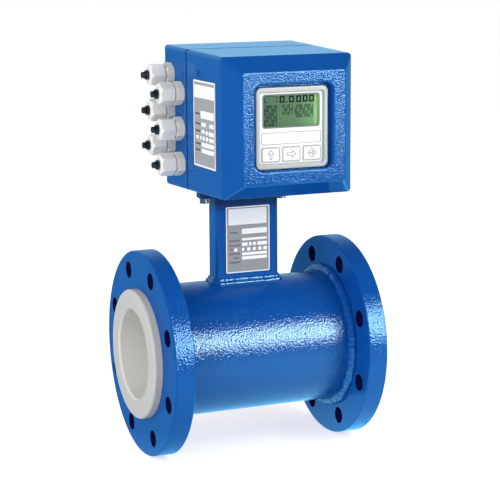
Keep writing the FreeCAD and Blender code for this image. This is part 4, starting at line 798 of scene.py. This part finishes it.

# Green display cell: painted light makes it yellow-green at its right-hand edge and duller to the left;
# slightly uneven.
cell_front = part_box("lcd_module")[0][1]
cell, tree = new_material("green_display_cell")
place = add(tree, "ShaderNodeTexCoord")
split = add(tree, "ShaderNodeSeparateXYZ", {0: place.outputs["Object"]})
across = add(tree, "ShaderNodeMapRange", {"Value": split.outputs["X"], "From Min": window_low[0],
                                          "From Max": window_high[0]})
tint = add(tree, "ShaderNodeValToRGB", {"Fac": across.outputs[0]})
ramp = tint.color_ramp
ramp.elements[0].position = 0.0
ramp.elements[0].color = linear("#567A62")
ramp.elements[1].position = 1.0
ramp.elements[1].color = linear("#C4F6A6")
for position, colour in ((0.30, "#62855F"), (0.60, "#688B64"), (0.90, "#7DB07E"), (0.95, "#B6EC9E")):
    stop = ramp.elements.new(position)
    stop.color = linear(colour)
blotch = add(tree, "ShaderNodeTexNoise", {"Vector": place.outputs["Object"], "Scale": frequency(5),
                                          "Detail": 2.0})
uneven = add(tree, "ShaderNodeMapRange", {"Value": blotch.outputs["Fac"], "To Min": 0.86, "To Max": 1.1})
painted_edge_light = add(tree, "ShaderNodeVectorMath", {0: tint.outputs["Color"], "Scale": uneven.outputs[0]},
              operation="SCALE")
cell_body = add(tree, "ShaderNodeBsdfPrincipled", {"Base Color": painted_edge_light.outputs[0], "Roughness": 0.6,
                                                   "Specular IOR Level": 0.1})
add(tree, "ShaderNodeOutputMaterial", {"Surface": cell_body.outputs[0]})
dress(cell, "lcd_module")

segment_ink = plain_plastic("liquid_crystal_segments", "#141C16", "#1C261F", 0.6, 1.0, 0.005, level=0.1)
cell_plane = Plane(((window_low[0] + window_high[0]) / 2, cell_front,
                    (window_low[2] + window_high[2]) / 2), (1, 0, 0), (0, 0, 1))
SEGMENTS = {"top": (0, 1, 1, 1), "upper_left": (0, 0.5, 0, 1), "upper_right": (1, 0.5, 1, 1),
            "middle": (0, 0.5, 1, 0.5), "lower_left": (0, 0, 0, 0.5), "lower_right": (1, 0, 1, 0.5),
            "bottom": (0, 0, 1, 0)}
ZERO = ("top", "upper_left", "upper_right", "lower_left", "lower_right", "bottom")
ONE = ("upper_right", "lower_right")
ink_lift = 0.004
ink_thickness = 0.02
figures = bmesh.new()


def add_figure(mesh, lit, u, v, width, height, stroke):
    """One figure of straight segments, its lower left corner at (u, v)."""
    for name in lit:
        a, b, c, d = SEGMENTS[name]
        u0 = u + a * width
        v0 = v + b * height
        u1 = u + c * width
        v1 = v + d * height
        half = stroke / 2
        add_slab(mesh, cell_plane, [(u0 - half, v0 - half), (u1 + half, v0 - half),
                                    (u1 + half, v1 + half), (u0 - half, v1 + half)],
                 ink_lift, ink_thickness)


# Five large figures with a point and a colon, then three blocks of small ones.
for u in (-11.15, -0.55, 7.5, 14.95, 22.25):
    add_figure(figures, ZERO, u, 8.95, 4.0, 5.4, 1.7)
add_slab(figures, cell_plane, rounded(-5.3, 8.1, -3.5, 9.8, 0.2), ink_lift, ink_thickness)
for v in (9.0, 12.6):
    add_slab(figures, cell_plane, rounded(-15.6, v, -14.0, v + 1.6, 0.2), ink_lift, ink_thickness)
add_figure(figures, ("upper_left", "lower_left", "bottom"), -28.8, 9.2, 2.6, 3.6, 0.9)
for row in range(6):
    for place_number in range(5):
        add_figure(figures, ZERO if (row + place_number) % 3 else ONE,
                   -28.8 + place_number * 2.9, 3.4 - row * 3.7, 1.6, 2.2, 0.75)
for row in range(3):
    for place_number in range(4):
        add_figure(figures, ONE if (row + place_number) % 2 else ZERO,
                   -8.5 + place_number * 3.0, 3.4 - row * 3.7, 1.7, 2.4, 0.7)
for row in range(4):
    for place_number in range(7):
        add_figure(figures, ZERO if (row * 2 + place_number) % 3 else ONE,
                   5.4 + place_number * 3.1, 3.0 - row * 3.4, 1.7, 2.2, 0.7)
finish_print("display_figures", figures, segment_ink, "meter")


# ---- Field coils, iron and inner fittings ----------------------------------------------------
# Enamelled copper windings on soft-iron shoes, closed by a sheet-iron ring, with white
# acetal bushes round the electrodes: all sealed in under the shell.
dress(plain_plastic("enamelled_copper_wire", "#7A3B14", "#9A5320", 0.3, 0.8, 0.08, metal=0.6),
      "coil_upper", "coil_lower", "transformer")
dress(turned_steel("annealed_soft_iron", "#5C5D60", 0.5, 2.0), "pole_shoe_upper", "pole_shoe_lower",
      "magnetic_yoke")
dress(plain_plastic("white_acetal", "#DDDDDA", "#E8E8E5", 0.35, 1.0, 0.02), "electrode_insulators")


# ---- Electronics -----------------------------------------------------------------------------
# Green glass-fibre boards on brass pillars, with moulded terminals and capacitors, a plain
# aluminium partition and a grey silicone key mat.
dress(plain_plastic("glass_fibre_board", "#0C3A20", "#12502C", 0.35, 0.8, 0.02), "display_board",
      "main_board", "power_board", "terminal_board")
dress(plain_plastic("moulded_components", "#1B3B28", "#244A33", 0.45, 1.0, 0.02),
      "smoothing_capacitors", "terminal_blocks")
dress(turned_steel("brass_pillar_stock", "#B08D4A", 0.3, 1.0), "board_standoffs")
dress(turned_steel("plain_aluminium_sheet", "#B9BBBE", 0.4, 2.0), "partition_sheet")
dress(plain_plastic("grey_silicone", "#9A9A9A", "#A8A8A8", 0.6, 1.0, 0.02), "key_dome_mat")
